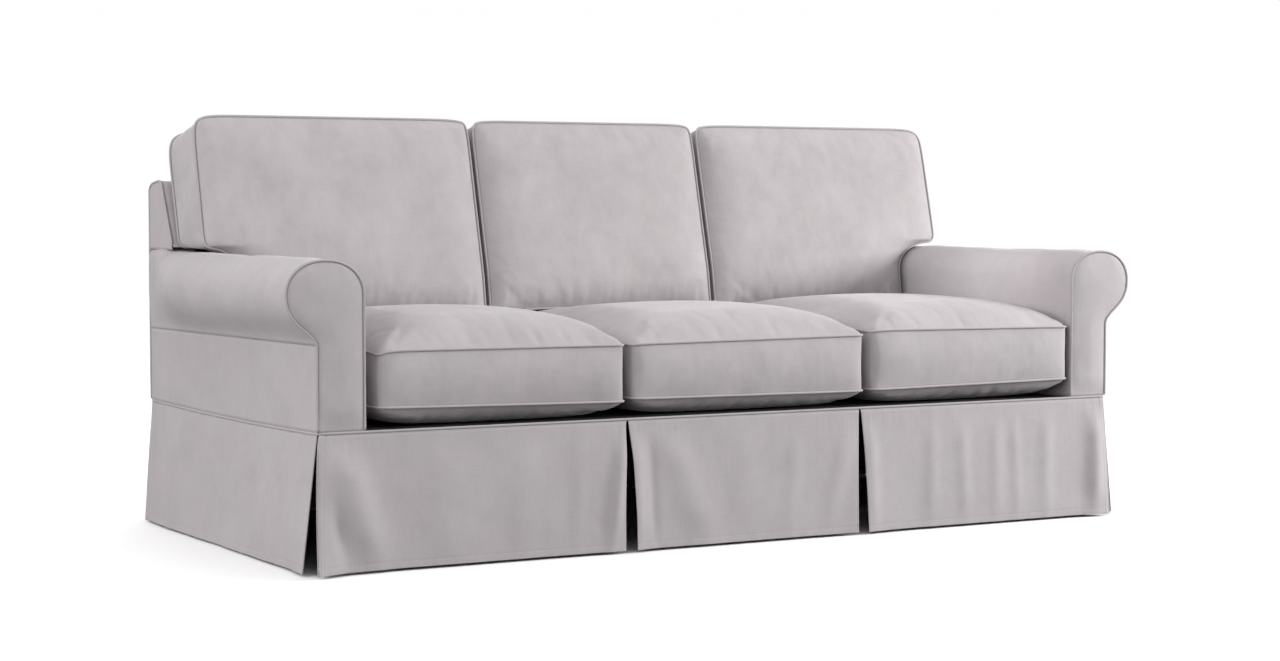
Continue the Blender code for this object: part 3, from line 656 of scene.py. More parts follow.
welt_cotton = brushed_cotton("brushed_cotton_on_the_bias", tone=0.96, nap=0.5)
for where, side in SIDES.items():
    line = arm_outline()
    path = np.stack([side * line[:, 0], 0 * line[:, 0] - HALF_DEPTH, line[:, 1]], axis=1)
    cord_welt(f"welt_arm_front_{where}", evenly(path), (0, 1, 0))
    rim = np.concatenate([[GUSSET_FOOT], through(OVER_BACK, 60), [(HALF_DEPTH, SKIRT_SEAM + TRIM)]])
    path = np.stack([side * POST_HALF + 0 * rim[:, 0], rim[:, 0], rim[:, 1]], axis=1)
    cord_welt(f"welt_back_{where}", evenly(path), (1, 0, 0))

SKIRT_CORNER = 0.012
ring = []
for across, along, first in ((1, -1, -90), (1, 1, 0), (-1, 1, 90), (-1, -1, 180)):
    turn = np.radians(first + np.linspace(0, 90, 9))
    x = across * (POST_HALF - SKIRT_CORNER) + SKIRT_CORNER * np.cos(turn)
    y = along * (HALF_DEPTH - SKIRT_CORNER) + SKIRT_CORNER * np.sin(turn)
    ring.append(np.stack([x, y, SKIRT_SEAM + 0 * x], axis=1))
path = evenly(np.concatenate(ring), closed=True)
path[:, 2] -= side_sag(path[:, 1]) * eased(np.abs(path[:, 0]), POST_HALF - 0.02, POST_HALF)
cord_welt("welt_skirt", path, (0, 0, 1), closed=True)


# ------------------------------------------------------------------ skirt
# Three panels in front with open pleats between them, a panel at each side and one behind, each
# hanging from the welt to a turned-up and stitched hem just above the floor. The front and back
# panels turn the corners and run on behind the side panels; at the pleats the cloth folds back.

HEM_HEIGHT = 0.006
SKIRT_DROP = SKIRT_SEAM - TRIM - HEM_HEIGHT
SKIRT_JOINT = 0.301  # middle of the sofa to an open pleat
PLEAT = 0.0115  # half the width of an open pleat at the hem
HEM_STITCH = 0.0145  # height of the hem's stitching above its edge
HEM_TURNED = 0.02
FLARE_STARTS = 0.55
SLIT_CURVE = 0.6  # below 1, a slit opens quickly under the seam
FOLDED_EDGE = 0.022
FOLD_SLANT = 0.75  # how far the cloth that folds back at an end leans in behind its panel
EDGE_STITCH = 0.016  # the stitched line beside the edge at a corner of the sofa
EDGE_DRAWN_IN = 0.0030  # how far the cloth outside that line lies back
SKIRT_SURFACE = {  # how high its unevenness stands, and how deep its stitched lines lie
    "swells": 0.0009, "puckers": 0.0003, "hem_line": 0.0003, "edge_line": 0.0007, "hem_ripples": 0.0003,
}
WRAP = {"top": 0.026, "hem": 0.046}
WRAP_INSET = CLOTH + 2 * GAP
# Each fold runs from top, under the seam, to hem, measured along the panel from its middle. It
# starts at once, or at the share of the drop that its row ends with.
SKIRT_COLUMNS = "top hem wide out starts"
SIDE_FOLDS = table(
    SKIRT_COLUMNS,
    (-0.30, -0.330, 0.050, 0.005),
    (-0.05, -0.020, 0.060, -0.005),
    (0.24, 0.270, 0.050, 0.005),
)
SKIRT_PANELS = {
    "front_left": {
        "spread": {"left": 0.0245, "right": -PLEAT},
        "flare": {"middle": 0.014, "left": 0.028, "right": 0.006}, "wraps": ("left",), "columns": 140,
        "folds": table(
            SKIRT_COLUMNS,
            (-0.315, -0.235, 0.038, 0.016),
            (-0.345, -0.305, 0.018, -0.008, 0.40),
            (-0.090, -0.060, 0.050, 0.004),
            (0.120, 0.090, 0.035, 0.004),
            (0.240, 0.225, 0.020, 0.003),
            (0.346, 0.306, 0.017, 0.011),
        ),
    },
    "front_middle": {
        "spread": {"left": -PLEAT, "right": -PLEAT},
        "flare": {"middle": 0.012, "left": 0.010, "right": 0.008}, "wraps": (), "columns": 130,
        "folds": table(
            SKIRT_COLUMNS,
            (-0.288, -0.282, 0.022, 0.010),
            (-0.247, -0.237, 0.012, -0.003),
            (-0.211, -0.110, 0.045, 0.008),
            (-0.020, 0.010, 0.035, 0.003),
            (0.130, 0.110, 0.022, 0.003),
            (0.283, 0.200, 0.025, 0.005),
        ),
    },
    "front_right": {
        "spread": {"left": -PLEAT, "right": 0.006},
        "flare": {"middle": 0.010, "left": 0.012, "right": 0.014}, "wraps": ("right",), "columns": 140,
        "folds": table(
            SKIRT_COLUMNS,
            (-0.331, -0.325, 0.020, 0.006),
            (-0.152, -0.160, 0.020, 0.004),
            (-0.070, -0.062, 0.018, 0.004),
            (0.031, 0.026, 0.020, 0.004),
            (0.082, 0.090, 0.016, 0.003),
            (0.179, 0.172, 0.020, 0.004),
            (0.324, 0.314, 0.024, 0.013),
        ),
    },
    "back": {
        "spread": {"left": 0.013, "right": 0.013},
        "flare": {"middle": 0.014, "left": 0.016, "right": 0.016}, "wraps": ("left", "right"),
        "columns": 190, "slant": 0.05, "lower": 0.0062,
        "folds": table(
            SKIRT_COLUMNS,
            (-0.80, -0.770, 0.040, 0.006),
            (-0.47, -0.510, 0.050, -0.005),
            (-0.18, -0.140, 0.060, 0.006),
            (0.10, 0.080, 0.035, 0.004),
            (0.41, 0.450, 0.050, -0.005),
            (0.76, 0.730, 0.045, 0.006),
        ),
    },
    "side_left": {
        "spread": {}, "flare": {"middle": 0.023, "left": -0.004, "right": 0.010}, "wraps": (),
        "columns": 130, "folds": SIDE_FOLDS,
    },
    "side_right": {
        "spread": {}, "flare": {"middle": 0.023, "left": 0.006, "right": -0.004}, "wraps": (),
        "columns": 130, "folds": SIDE_FOLDS,
    },
}


def skirt_panel(name, start, end, outward, form, seed):
    """A panel of the skirt from start to end as seen from outside, worked out by how far each place
    is along the panel, how far down it is, and how far out it stands."""
    start, end, outward = (np.array([*point, 0.0]) for point in (start, end, outward))
    half = np.linalg.norm(end - start) / 2
    run, middle = (end - start) / (2 * half), (start + end) / 2
    hem = [0, 0.0012, 0.0025, 0.004, 0.006, 0.009]  # rows close together at the hem and its stitching
    stitching = HEM_STITCH + np.array([-0.003, -0.0012, 0, 0.0012, 0.003])
    above = np.linspace(0.030, SKIRT_DROP, 30)
    drop = (1 - np.concatenate([hem, stitching, [0.022], above]) / SKIRT_DROP)[::-1][None, :]
    spread, wraps = form["spread"], form["wraps"]
    back = np.concatenate([np.linspace(1, 0.12, 9), [0.06]])
    face = (1 - np.cos(np.linspace(0, math.pi, form["columns"]))) / 2
    face = 0.6 * face + 0.4 * np.linspace(0, 1, form["columns"])
    stitched = (EDGE_STITCH + np.array([-0.0026, -0.0013, 0, 0.0013, 0.0026])) / (2 * half)
    face = np.sort(np.concatenate([face, stitched, 1 - stitched]))
    parts = [(-1, back)] if "left" in spread else []
    parts += [(0, face)]
    parts += [(1, back[::-1])] if "right" in spread else []
    end_of = np.concatenate([np.full(len(share), which) for which, share in parts])[:, None]
    share = np.concatenate([share for _, share in parts])[:, None]
    opens = drop**SLIT_CURVE
    left = -half - spread.get("left", 0.0) * opens
    right = half + spread.get("right", 0.0) * opens
    along = np.where(end_of < 0, left, np.where(end_of > 0, right, between(left, right, share)))
    out = form["flare"]["middle"]
    for end_name, towards in (("left", -along / half), ("right", along / half)):
        past = np.maximum(0, (towards - FLARE_STARTS) / (1 - FLARE_STARTS))
        out = out + form["flare"][end_name] * past**2
    out = out * drop
    for fold in form["folds"]:
        line = between(fold["top"], fold["hem"], drop)
        starts = fold.get("starts", 0.02)
        strength = eased(drop, starts, starts + 0.33) * (1 - 0.65 * eased(drop, 0.7, 1.0))
        out = out + fold["out"] * np.exp(-(((along - line) / fold["wide"]) ** 2)) * strength
    turned_in = np.zeros_like(out)
    for which, end_name in ((-1, "left"), (1, "right")):
        deep = between(WRAP["top"], WRAP["hem"], drop) if end_name in wraps else FOLDED_EDGE + 0 * drop
        turned_in = np.where(end_of == which, deep * share, turned_in)
        along = along - which * np.where(end_of == which, form.get("slant", FOLD_SLANT) * deep * share, 0)
    out = out - turned_in
    to_ends = {"left": along - left, "right": right - along}
    edges = [to_ends[end_name] for end_name in to_ends if end_name in wraps]
    on_panel = end_of == 0
    for to_edge in edges:
        out = out - EDGE_DRAWN_IN * (1 - eased(to_edge, 0, EDGE_STITCH)) * on_panel * eased(drop, 0, 0.2)
    along = along + 0 * out
    for _ in range(2):  # rounds the cloth where it folds back at an end
        near_end = np.minimum(np.abs(along[1:-1] - left), np.abs(right - along[1:-1])) < 0.006
        for grid in (out, along):
            grid[1:-1] = np.where(near_end, (grid[:-2] + 2 * grid[1:-1] + grid[2:]) / 4, grid[1:-1])
    rise = SKIRT_DROP * (1 - drop)
    sag = side_sag(along) * (1 - 0.7 * drop) if name.startswith("side") else 0.0
    x, y = (middle[k] + run[k] * along + outward[k] * out for k in (0, 1))
    z = HEM_HEIGHT + rise - sag - form.get("lower", 0.0) * drop
    cloth_along = along + np.where(end_of != 0, end_of * turned_in, 0)
    rise = rise + 0 * along
    from_edge = np.minimum(SKIRT_DROP - rise, np.maximum(half - np.abs(along), 0) + 0.004)
    deep = SKIRT_SURFACE
    height = deep["swells"] * uneven(cloth_along, rise, 0.16, seed) * eased(from_edge, 0, 0.04) * drop
    height += puckers(cloth_along, SKIRT_DROP - rise, deep["puckers"], seed + 1, 0.014)
    height -= deep["hem_line"] * np.exp(-(((rise - HEM_STITCH) / 0.0015) ** 2))
    for to_edge in edges:
        height -= deep["edge_line"] * np.exp(-(((to_edge - EDGE_STITCH) / 0.0014) ** 2)) * on_panel
    ripples = uneven(cloth_along, 0 * rise, 0.02, seed + 2) * (1 - eased(rise, 0.0, HEM_TURNED))
    height += deep["hem_ripples"] * ripples
    cut = (float(cloth_along.max() - cloth_along.min()), SKIRT_DROP + HEM_TURNED)
    panel(
        f"skirt_{name}", (x, y, z), (cloth_along, rise), height, True,
    )


corner = POST_HALF - WRAP_INSET
front = -HALF_DEPTH
skirt_ends = {
    "front_left": ((-corner, front), (-SKIRT_JOINT - 2 * GAP, front), (0, -1)),
    "front_middle": ((2 * GAP - SKIRT_JOINT, front), (SKIRT_JOINT - 2 * GAP, front), (0, -1)),
    "front_right": ((SKIRT_JOINT + 2 * GAP, front), (corner, front), (0, -1)),
    "back": ((corner, -front), (-corner, -front), (0, 1)),
}
side_end = HALF_DEPTH - 0.005
for where, side in SIDES.items():
    ends = ((side * POST_HALF, -side * side_end), (side * POST_HALF, side * side_end))
    skirt_ends[f"side_{where}"] = (*ends, (side, 0))
for number, (name, (start, end, outward)) in enumerate(skirt_ends.items()):
    skirt_panel(name, start, end, outward, SKIRT_PANELS[name], 60 + 5 * number)


# ------------------------------------------------------------------ seat cushions
# Three box cushions: a soft filling in a cover of a top, an underside and a border all round, with
# a welt in both long seams. The filling crowns the top and lets the underside down on the deck.

SEAT_FRONT, SEAT_BACK = -0.508, 0.245
SEATS = {  # low and high are the heights of the two seams at the left and the right end
    "left": {
        "left": -0.877, "right": -0.303, "low": (0.3340, 0.3252), "high": (0.4473, 0.4441), "crown": 0.080,
        "dip": 0.008,
    },
    "middle": {
        "left": -0.2835, "right": 0.316, "low": (0.3302, 0.3255), "high": (0.4449, 0.4495), "crown": 0.074,
        "dip": 0.002,
    },
    "right": {
        "left": 0.337, "right": 0.902, "low": (0.3270, 0.3333), "high": (0.4594, 0.4544), "crown": 0.072,
        "dip": 0.004,
    },
}
# Creases that the front welt draws into the top: x is from the middle of the sofa, y from the front.
SEAT_CREASES = {
    "left": table(
        FOLD_COLUMNS,
        (-0.655, -0.012, -0.668, 0.036, 0.007, -0.0027),
        (-0.564, -0.012, -0.576, 0.034, 0.007, -0.0024),
        (-0.502, -0.014, -0.516, 0.044, 0.008, -0.0051),
        (-0.472, -0.012, -0.480, 0.032, 0.006, -0.0030),
        (-0.434, -0.012, -0.446, 0.034, 0.007, -0.0033),
        (-0.376, -0.012, -0.390, 0.030, 0.007, -0.0027),
        (-0.846, 0.006, -0.790, 0.060, 0.010, -0.0033),
    ),
    "middle": table(
        FOLD_COLUMNS,
        (-0.276, 0.000, -0.165, 0.042, 0.008, -0.0045),
        (-0.272, 0.010, -0.205, 0.100, 0.010, -0.0051),
        (-0.226, -0.010, -0.212, 0.034, 0.007, -0.0024),
        (-0.060, -0.012, -0.066, 0.032, 0.007, -0.0021),
        (0.085, -0.012, 0.078, 0.030, 0.007, -0.0024),
        (0.228, -0.012, 0.214, 0.034, 0.007, -0.0027),
    ),
    "right": table(
        FOLD_COLUMNS,
        (0.352, 0.004, 0.420, 0.052, 0.009, -0.0018),
        (0.392, -0.012, 0.398, 0.034, 0.007, -0.0027),
        (0.470, -0.012, 0.466, 0.030, 0.007, -0.0021),
        (0.602, -0.012, 0.592, 0.034, 0.007, -0.0027),
        (0.640, -0.012, 0.634, 0.030, 0.006, -0.0021),
        (0.812, -0.012, 0.800, 0.034, 0.007, -0.0024),
    ),
}
SEAT_TOP_REACH = 0.054
SEAT_UNDER_REACH = 0.028
SEAT_FALLS_BEHIND = 0.25
SEAT_DIP = {"across": 0.014, "back": 0.060}  # how far the dip at a front left corner spreads
SEAT_COUNTS = (70, 56, 10)
SEAT_GATHERS = {"top": 0.35, "border": 0.12}  # the share of the simulated gathers that is kept
SEAT_CUT_ALONG = ((1, 2), (0, 2), (0, 1))  # the axes that the cloth lies along, on each side of the box
SEAT_FILL = 0.85
BORDER_SWELL = {"ends": 0.0045, "front": 0.0095, "corner_power": 10}
CORNER_CUT = 0.0058
CORNER_POWER = 37
CORNER_CREASE = 0.8  # how sharp the upright corners of a border are
RIM_TO_WELT = WELT - 0.0004
EDGE_CROWDING = (0.15, 0.40, 0.30)
ON_FACE = 0.999  # beyond this, a place is on a big face and not on the border
UNGATHERED = 0.015  # the gathers start from nothing at a seam over this distance
SIM_FRAMES = 20
BLOWN = {"pressure": 4.0, "spare": 0.035, "stiff": 25, "bending": 0.15, "mass": 0.25, "quality": 4}
TRAVEL = 0.022  # the furthest that the simulation may move a place
CALMINGS = 60


def box_lattice(counts):
    """The surface of a box cut into quads: whole-number spots, the quads between them, and for each
    quad the axis that its side of the box faces along."""
    quads, axes = [], []
    for axis, (u, v) in enumerate(((1, 2), (2, 0), (0, 1))):
        i, j = (grid.reshape(-1, 1) for grid in np.meshgrid(np.arange(counts[u]), np.arange(counts[v])))
        for far in (0, counts[axis]):
            corners = np.full((i.size, 4, 3), far)
            corners[:, :, u] = i + [0, 1, 1, 0]
            corners[:, :, v] = j + [0, 0, 1, 1]
            quads.append(corners if far else corners[:, ::-1])
            axes.append(np.full(i.size, axis))
    spots, faces = np.unique(np.concatenate(quads).reshape(-1, 3), axis=0, return_inverse=True)
    return spots, faces.reshape(-1, 4), np.concatenate(axes)


def closer_at_edges(spots, counts):
    """The lattice's spots as -1 to 1 along each side of the box, closer together near its edges."""
    even = 2 * spots / counts - 1
    return (even + np.array(EDGE_CROWDING) * np.sin(math.pi * even) / math.pi).T


def to_nearest_edge(first, second):
    """The distance to the nearer of two edges, rounded where both are near: (u^-2 + v^-2)^(-1/2)."""
    first, second = np.maximum(first, 1e-6), np.maximum(second, 1e-6)
    return (first**-2 + second**-2) ** (-1 / 2)


def crowned(crown, reach, distance):
    """How far a filled face stands over its rim: steep inside the welt and level in the middle,
    crown * (1 - exp(-distance / reach))."""
    return crown * (1 - np.exp(-distance / reach))


def normals_at(places, faces):
    """The unit normal at each place: the sum of the area vectors of the quads that meet there."""
    corners = places[faces]
    area = np.cross(corners[:, 2] - corners[:, 0], corners[:, 3] - corners[:, 1])
    meeting = (np.bincount(faces.ravel(), np.repeat(area[:, k], 4), len(places)) for k in range(3))
    total = np.stack(list(meeting), axis=1)
    return total / np.maximum(np.linalg.norm(total, axis=1, keepdims=True), 1e-12)


def calmed(values, faces, times):
    """The values averaged with their neighbours' along the quads' edges that many times."""
    first, second = faces.ravel(), np.roll(faces, -1, axis=1).ravel()
    share = np.bincount(first, minlength=len(values)) + np.bincount(second, minlength=len(values))
    count = len(values)
    for _ in range(times):
        total = np.stack([
            np.bincount(first, values[second, k], count) + np.bincount(second, values[first, k], count)
            for k in range(3)
        ], axis=1)
        values = 0.5 * values + 0.5 * total / share[:, None]
    return values


def rim_of(spots, counts):
    """Which spots lie on a seam: on the edge of a big face."""
    on_side = (spots[:, 0] % counts[0] == 0) | (spots[:, 1] % counts[1] == 0)
    return on_side & (spots[:, 2] % counts[2] == 0)


def border_swell(a, b, c, high):
    """How far a border stands out: high * (1 - c^2) from welt to welt, and nothing at its upright
    corners, by 1 - (the lesser of a and b)^10."""
    corner = np.minimum(np.abs(a), np.abs(b)) ** BORDER_SWELL["corner_power"]
    return high * (1 - c**2) * (np.abs(c) < ON_FACE) * (1 - corner)


def kept_gathers(c, inside, tall, on_face, on_border):
    """The share of the simulated gathers that each place keeps: on_face on the big faces and
    on_border on the border, which is tall high, and none at the seams."""
    from_seam = np.minimum(1 - c, 1 + c) * tall / 2
    on_face, on_border = on_face * eased(inside, 0, UNGATHERED), on_border * eased(from_seam, 0, UNGATHERED)
    return np.where(np.abs(c) > ON_FACE, on_face, on_border)


blown = []  # the cushions' covers while they are blown up


def start_blowing(name, places, faces, rim):
    """A copy of a cushion's cover for the cloth simulation, held at its seams: the cloth is cut a
    little large and blown up, so that it gathers along the welts."""
    mesh = bpy.data.meshes.new(name + "_blown")
    mesh.from_pydata(places.tolist(), [], faces.tolist())
    bag = bpy.data.objects.new(name + "_blown", mesh)
    bpy.context.scene.collection.objects.link(bag)
    bag.vertex_groups.new(name="seams").add(np.flatnonzero(rim).tolist(), 1.0, "ADD")
    cloth = bag.modifiers.new("cloth", "CLOTH")
    cloth.settings.vertex_group_mass = "seams"
    cloth.settings.use_pressure = True
    cloth.settings.uniform_pressure_force = BLOWN["pressure"]
    cloth.settings.shrink_min = -BLOWN["spare"]
    cloth.settings.effector_weights.gravity = 0.0
    cloth.settings.tension_stiffness = cloth.settings.compression_stiffness = BLOWN["stiff"]
    cloth.settings.bending_stiffness = BLOWN["bending"]
    cloth.settings.mass = BLOWN["mass"]
    cloth.settings.quality = BLOWN["quality"]
    cloth.point_cache.frame_end = SIM_FRAMES + 1
    blown.append(bag)
    return bag


def gathered(bag, places, faces):
    """How far the simulation moved each place, capped at TRAVEL, less its broad swelling, which the
    crown already has: what stays is the gathers."""
    shown = bag.evaluated_get(bpy.context.evaluated_depsgraph_get())
    moved = np.zeros(len(places) * 3, np.float32)
    shown.data.vertices.foreach_get("co", moved)
    moved = moved.reshape(-1, 3) - places
    far = np.linalg.norm(moved, axis=1, keepdims=True)
    moved = moved * np.minimum(1, TRAVEL / np.maximum(far, 1e-9))
    return moved - calmed(moved, faces, CALMINGS)


def cushion(node, spots, faces, axes, counts, places, cut_along, fill):
    """A filled cushion over its lattice, creased along its seams, and the welts along its two rims."""
    corners = places[faces]
    flat = np.zeros((len(faces), 4, 2))
    for axis, pair in enumerate(cut_along):
        flat[axes == axis] = corners[axes == axis][:, :, pair]
    made = mesh_of(node + "_cover", places, faces, flat + 0.7 * len(node), cushion_cotton)
    sharp = made.data.attributes.new("crease_edge", "FLOAT", "EDGE")
    ends = np.zeros(len(made.data.edges) * 2, np.int32)
    made.data.edges.foreach_get("vertices", ends)
    on_rim = rim_of(spots, counts)
    first, second = ends.reshape(-1, 2).T
    level = spots[first, 2] == spots[second, 2]
    at_corner = (spots[:, 0] % counts[0] == 0) & (spots[:, 1] % counts[1] == 0)
    crease = np.where(on_rim[first] & on_rim[second] & level, 1.0, 0.0)
    crease = np.where(at_corner[first] & at_corner[second] & ~level, CORNER_CREASE, crease)
    sharp.data.foreach_set("value", crease.astype(np.float32))
    body = made.modifiers.new("smooth", "SUBSURF")
    body.levels = body.render_levels = 1
    stands_for(made, node)
    normals = normals_at(places, faces)
    columns, rows, layers = counts
    i, j = np.arange(columns), np.arange(rows)
    loop = np.concatenate([
        np.stack([i, 0 * i], 1), np.stack([0 * j + columns, j], 1),
        np.stack([columns - i, 0 * i + rows], 1), np.stack([0 * j, rows - j], 1),
    ])
    key = (spots[:, 0] * 1000 + spots[:, 1]) * 1000 + spots[:, 2]
    for which, layer in (("face", layers), ("rear", 0)):
        at = np.searchsorted(key, (loop[:, 0] * 1000 + loop[:, 1]) * 1000 + layer)
        path = evenly(places[at] + RIM_TO_WELT * normals[at], closed=True)
        for _ in range(2):
            path = (np.roll(path, 1, axis=0) + 2 * path + np.roll(path, -1, axis=0)) / 4
        middle = path - path.mean(axis=0)
        across = np.linalg.svd(middle, full_matrices=False)[2][2]
        cord_welt(f"welt_{node}_{which}", path, across * np.sign(across[2] - across[1]), closed=True)


cushion_cotton = brushed_cotton("brushed_cotton_of_the_cushions", nap=1.7)
to_fill = {}  # each cushion's lattice and places, until all are blown up together
for where, seat in SEATS.items():
    spots, faces, axes = box_lattice(SEAT_COUNTS)
    a, b, c = closer_at_edges(spots, SEAT_COUNTS)
    wide, deep = seat["right"] - seat["left"], SEAT_BACK - SEAT_FRONT
    low, high = (between(*seat[key], (a + 1) / 2) for key in ("low", "high"))
    from_corner = -wide * (1 + a) / 2 / SEAT_DIP["across"] - deep * (1 + b) / 2 / SEAT_DIP["back"]
    high = high - seat["dip"] * np.exp(from_corner)
    cut = CORNER_CUT * np.abs(a * b) ** CORNER_POWER
    x = (seat["left"] + seat["right"]) / 2 + wide / 2 * a - np.sign(a) * cut
    y = (SEAT_FRONT + SEAT_BACK) / 2 + deep / 2 * b - np.sign(b) * cut
    inside = to_nearest_edge(wide / 2 * (1 - np.abs(a)), deep / 2 * (1 - np.abs(b)))
    behind = 1 - SEAT_FALLS_BEHIND * eased(b, 0, 1)
    on_top = c > ON_FACE
    rise = np.where(on_top, crowned(seat["crown"], SEAT_TOP_REACH, inside) * behind, 0)
    fall = np.where(c < -ON_FACE, crowned(low - DECK_TOP - 2 * GAP, SEAT_UNDER_REACH, inside), 0)
    z = (high + low) / 2 + c * (high - low) / 2 + rise - fall
    places = np.stack([x, y, z], axis=1)
    normals = normals_at(places, faces)
    swell = border_swell(a, b, c, between(BORDER_SWELL["ends"], BORDER_SWELL["front"], normals[:, 1] ** 2))
    creases = soft_folds(x, y - SEAT_FRONT, SEAT_CREASES[where]) * on_top * eased(inside, 0, 0.006)
    places = places + normals * (swell + creases)[:, None]
    bag = start_blowing(f"seat_{where}", places, faces, rim_of(spots, SEAT_COUNTS))
    kept = kept_gathers(c, inside, high - low, SEAT_GATHERS["top"], SEAT_GATHERS["border"])
    lattice = (spots, faces, axes, SEAT_COUNTS)
    to_fill[f"seat_cushion_{where}"] = (lattice, places, bag, kept, SEAT_CUT_ALONG, SEAT_FILL)


# ------------------------------------------------------------------ back cushions
# Three box cushions of the same cotton and make, which lean on the inside back. Each end one is cut
# wider above the arm, so that it laps over it in an ear.

LEAN = math.radians(14.0)
BACK_CUSHION_FOOT = (0.160, 0.499)
BACK_CUSHION_DEPTH = 0.142
BACK_CUSHIONS = {
    "left": {"inner": 0.3075, "outer": 0.990, "tall": 0.459, "rest": 0.0027},
    "middle": {"left": -0.2900, "right": 0.3150, "tall": 0.457, "rest": 0.0018},
    "right": {"inner": 0.3335, "outer": 1.0235, "tall": 0.4555, "rest": 0.0027},
}
BACK_CUSHION_FACE = {"crown": 0.043, "reach": 0.040}
BACK_CUSHION_REAR = {"crown": 0.026, "reach": 0.050}
DROOP = {"deep": 0.040, "wide": 0.032, "high": 0.10}  # how the lower corners hang between the seats
BACK_GATHERS = {"face": 0.25, "foot": 0.35, "border": 0.15}
LEVEL_FOOT = (0.20, 0.44)
EAR_ROWS = np.array([  # height up the inner side, height up the outer side, how far out the outer side is
    (0.000, 0.000, 0.893), (0.020, 0.020, 0.8955), (0.060, 0.060, 0.8965), (0.098, 0.094, 0.8990),
    (0.125, 0.1165, 0.911), (0.150, 0.135, 0.930), (0.170, 0.1450, 0.950), (0.190, 0.1525, 0.973),
    (0.212, 0.1545, 0.993), (0.236, 0.1565, 1.006), (0.262, 0.1690, 1.0120), (0.310, 0.250, 1.0125),
    (0.370, 0.350, 1.0125), (0.425, 0.425, 1.0125), (0.446, 0.446, 1.0125), (0.455, 0.455, 1.0125),
])
EAR_START, EAR_LOW = 0.900, 0.200
EAR_REAR = np.array([  # distance from the middle of the sofa, lift and reach of the rear
    (0.899, 0.0, 0.0), (0.915, 0.012, 0.0), (0.950, 0.006, 0.0), (0.975, 0.0, 0.0), (1.000, -0.008, 0.013),
])
LIFT_FADES = (0.15, 0.25)
BACK_COUNTS = {"left": (74, 55, 9), "middle": (66, 55, 9), "right": (74, 55, 9)}
BACK_CUT_ALONG = ((1, 2), (0, 1), (0, 2))
BACK_FILL = 0.75
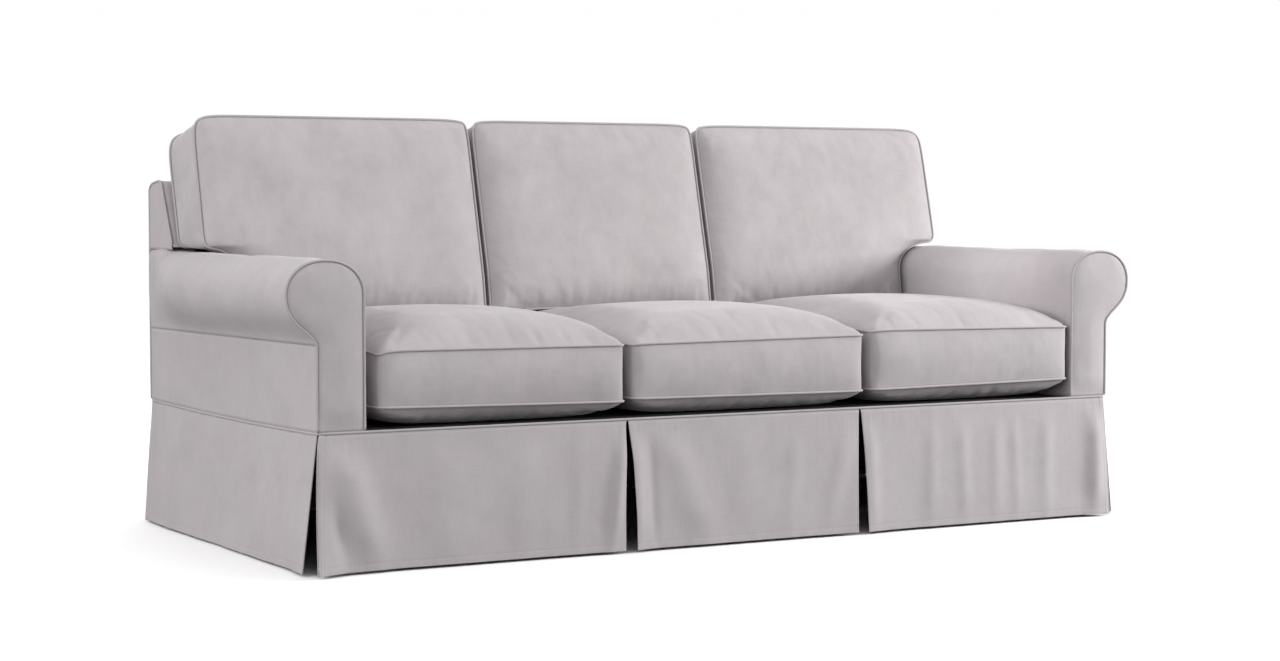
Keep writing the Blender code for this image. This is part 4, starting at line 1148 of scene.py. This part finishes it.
# How far the upper corners are rounded off, inwards and down.
ROUNDED = {"inner": (0.0065, 0.0065), "outer": (0.0150, 0.0095), "power": 12}
FOOT_CREASES = {  # the least and the most of the steps between them, and so on
    "steps": (0.012, 0.027), "strays": (-0.007, 0.007), "wide": (0.006, 0.009), "long": (0.036, 0.066),
    "high": -0.0024, "uneven": (0.4, 1.3), "starts": -0.008, "from_ends": 0.02,
}
for where, form in BACK_CUSHIONS.items():
    counts = BACK_COUNTS[where]
    spots, faces, axes = box_lattice(counts)
    a, b, c = closer_at_edges(spots, counts)
    share = (a + 1) / 2
    low = (b + 1) / 2 * EAR_ROWS[-1, 0]
    high, out = (np.interp(low, EAR_ROWS[:, 0], EAR_ROWS[:, k]) for k in (1, 2))
    if where in SIDES:
        reach = (form["outer"] - EAR_START) / (EAR_ROWS[-1, 2] - EAR_START)
        edge = np.where(out > EAR_START, EAR_START + (out - EAR_START) * reach, out)
        wide = edge - form["inner"]
        across = form["inner"] + wide * share
        up = low + (high - low) * share
    else:
        wide = form["right"] - form["left"]
        across = form["left"] + wide * share
        up = low
    stretch = (form["tall"] - EAR_LOW) / (EAR_ROWS[-1, 0] - EAR_LOW)
    up = np.where(up > EAR_LOW, EAR_LOW + (up - EAR_LOW) * stretch, up)
    cut = CORNER_CUT * np.abs(a * b) ** CORNER_POWER * (b < 0)
    rounded = np.abs(a * b) ** ROUNDED["power"] * (b > 0)
    outer = (a > 0) & (where in SIDES)
    cut_in, cut_down = (np.where(outer, ROUNDED["outer"][k], ROUNDED["inner"][k]) * rounded for k in (0, 1))
    across = (across - np.sign(a) * (cut + cut_in)) * SIDES.get(where, 1)
    up = up - np.sign(b) * cut - cut_down
    inside = to_nearest_edge(wide * np.minimum(share, 1 - share), form["tall"] / 2 * (1 - np.abs(b)))
    crown, rear_crown = (crowned(*size.values(), inside) for size in (BACK_CUSHION_FACE, BACK_CUSHION_REAR))
    crown = np.where(np.abs(c) > ON_FACE, np.where(c > 0, crown, rear_crown), 0)
    forward = c * BACK_CUSHION_DEPTH / 2 + np.sign(c) * crown - BACK_CUSHION_DEPTH / 2
    rear = -forward / BACK_CUSHION_DEPTH
    lift, reach = (np.interp(np.abs(across), EAR_REAR[:, 0], EAR_REAR[:, k]) for k in (1, 2))
    y = BACK_CUSHION_FOOT[0] + up * math.sin(LEAN) - forward
    z = BACK_CUSHION_FOOT[1] + up * math.cos(LEAN) + forward * math.sin(LEAN) * eased(up, *LEVEL_FOOT)
    z = z + rear * lift * (1 - eased(up, *LIFT_FADES))
    hang = np.exp(-wide * share / DROOP["wide"]) + np.exp(-wide * (1 - share) / DROOP["wide"])
    z = z - DROOP["deep"] * hang * (1 - eased(up, 0, DROOP["high"]))
    leans_on = np.interp(z, *np.array([BACK_FOOT, BACK_KNEE, BACK_EDGE]).T[::-1])
    y = np.where(rear > 1, np.minimum(y, leans_on - form["rest"]), y)
    places = np.stack([across + np.sign(across) * rear * reach, y, z], axis=1)
    if where == "left":
        faces = faces[:, ::-1]
    swell = border_swell(a, b, c, BORDER_SWELL["ends"])
    chance = np.random.default_rng(len(where))
    at = across.min() + FOOT_CREASES["from_ends"] + np.cumsum(chance.uniform(*FOOT_CREASES["steps"], 60))
    foot_creases = []
    for x in at[at < across.max() - FOOT_CREASES["from_ends"]]:
        drawn = ("strays", "wide", "long", "uneven")
        stray, thick, long, strong = (chance.uniform(*FOOT_CREASES[key]) for key in drawn)
        crease = (x, FOOT_CREASES["starts"], x + stray, long, thick, FOOT_CREASES["high"] * strong)
        foot_creases += table(FOLD_COLUMNS, crease)
    swell = swell + soft_folds(across, up, foot_creases) * (c > ON_FACE) * eased(inside, 0, 0.006)
    places = places + normals_at(places, faces) * swell[:, None]
    bag = start_blowing(f"back_{where}", places, faces, rim_of(spots, counts))
    on_face = between(BACK_GATHERS["face"], BACK_GATHERS["foot"], 1 - eased(up, 0.03, 0.13))
    kept = kept_gathers(c, inside, BACK_CUSHION_DEPTH, on_face, BACK_GATHERS["border"])
    lattice = (spots, faces, axes, counts)
    to_fill[f"back_cushion_{where}"] = (lattice, places, bag, kept, BACK_CUT_ALONG, BACK_FILL)


# ------------------------------------------------------------------ filling the cushions
# The covers of all six are blown up together. Each keeps the gathers that this draws in along its
# seams, and its welts are laid along them.

if blown:
    for moment in range(1, SIM_FRAMES + 1):
        bpy.context.scene.frame_set(moment)
for node, (lattice, places, bag, kept, cut_along, fill) in to_fill.items():
    if bag is not None:
        places = places + gathered(bag, places, lattice[1]) * kept[:, None]
    cushion(node, *lattice, places, cut_along, fill)
for bag in blown:
    bpy.data.objects.remove(bag, do_unlink=True)
bpy.context.scene.frame_set(1)
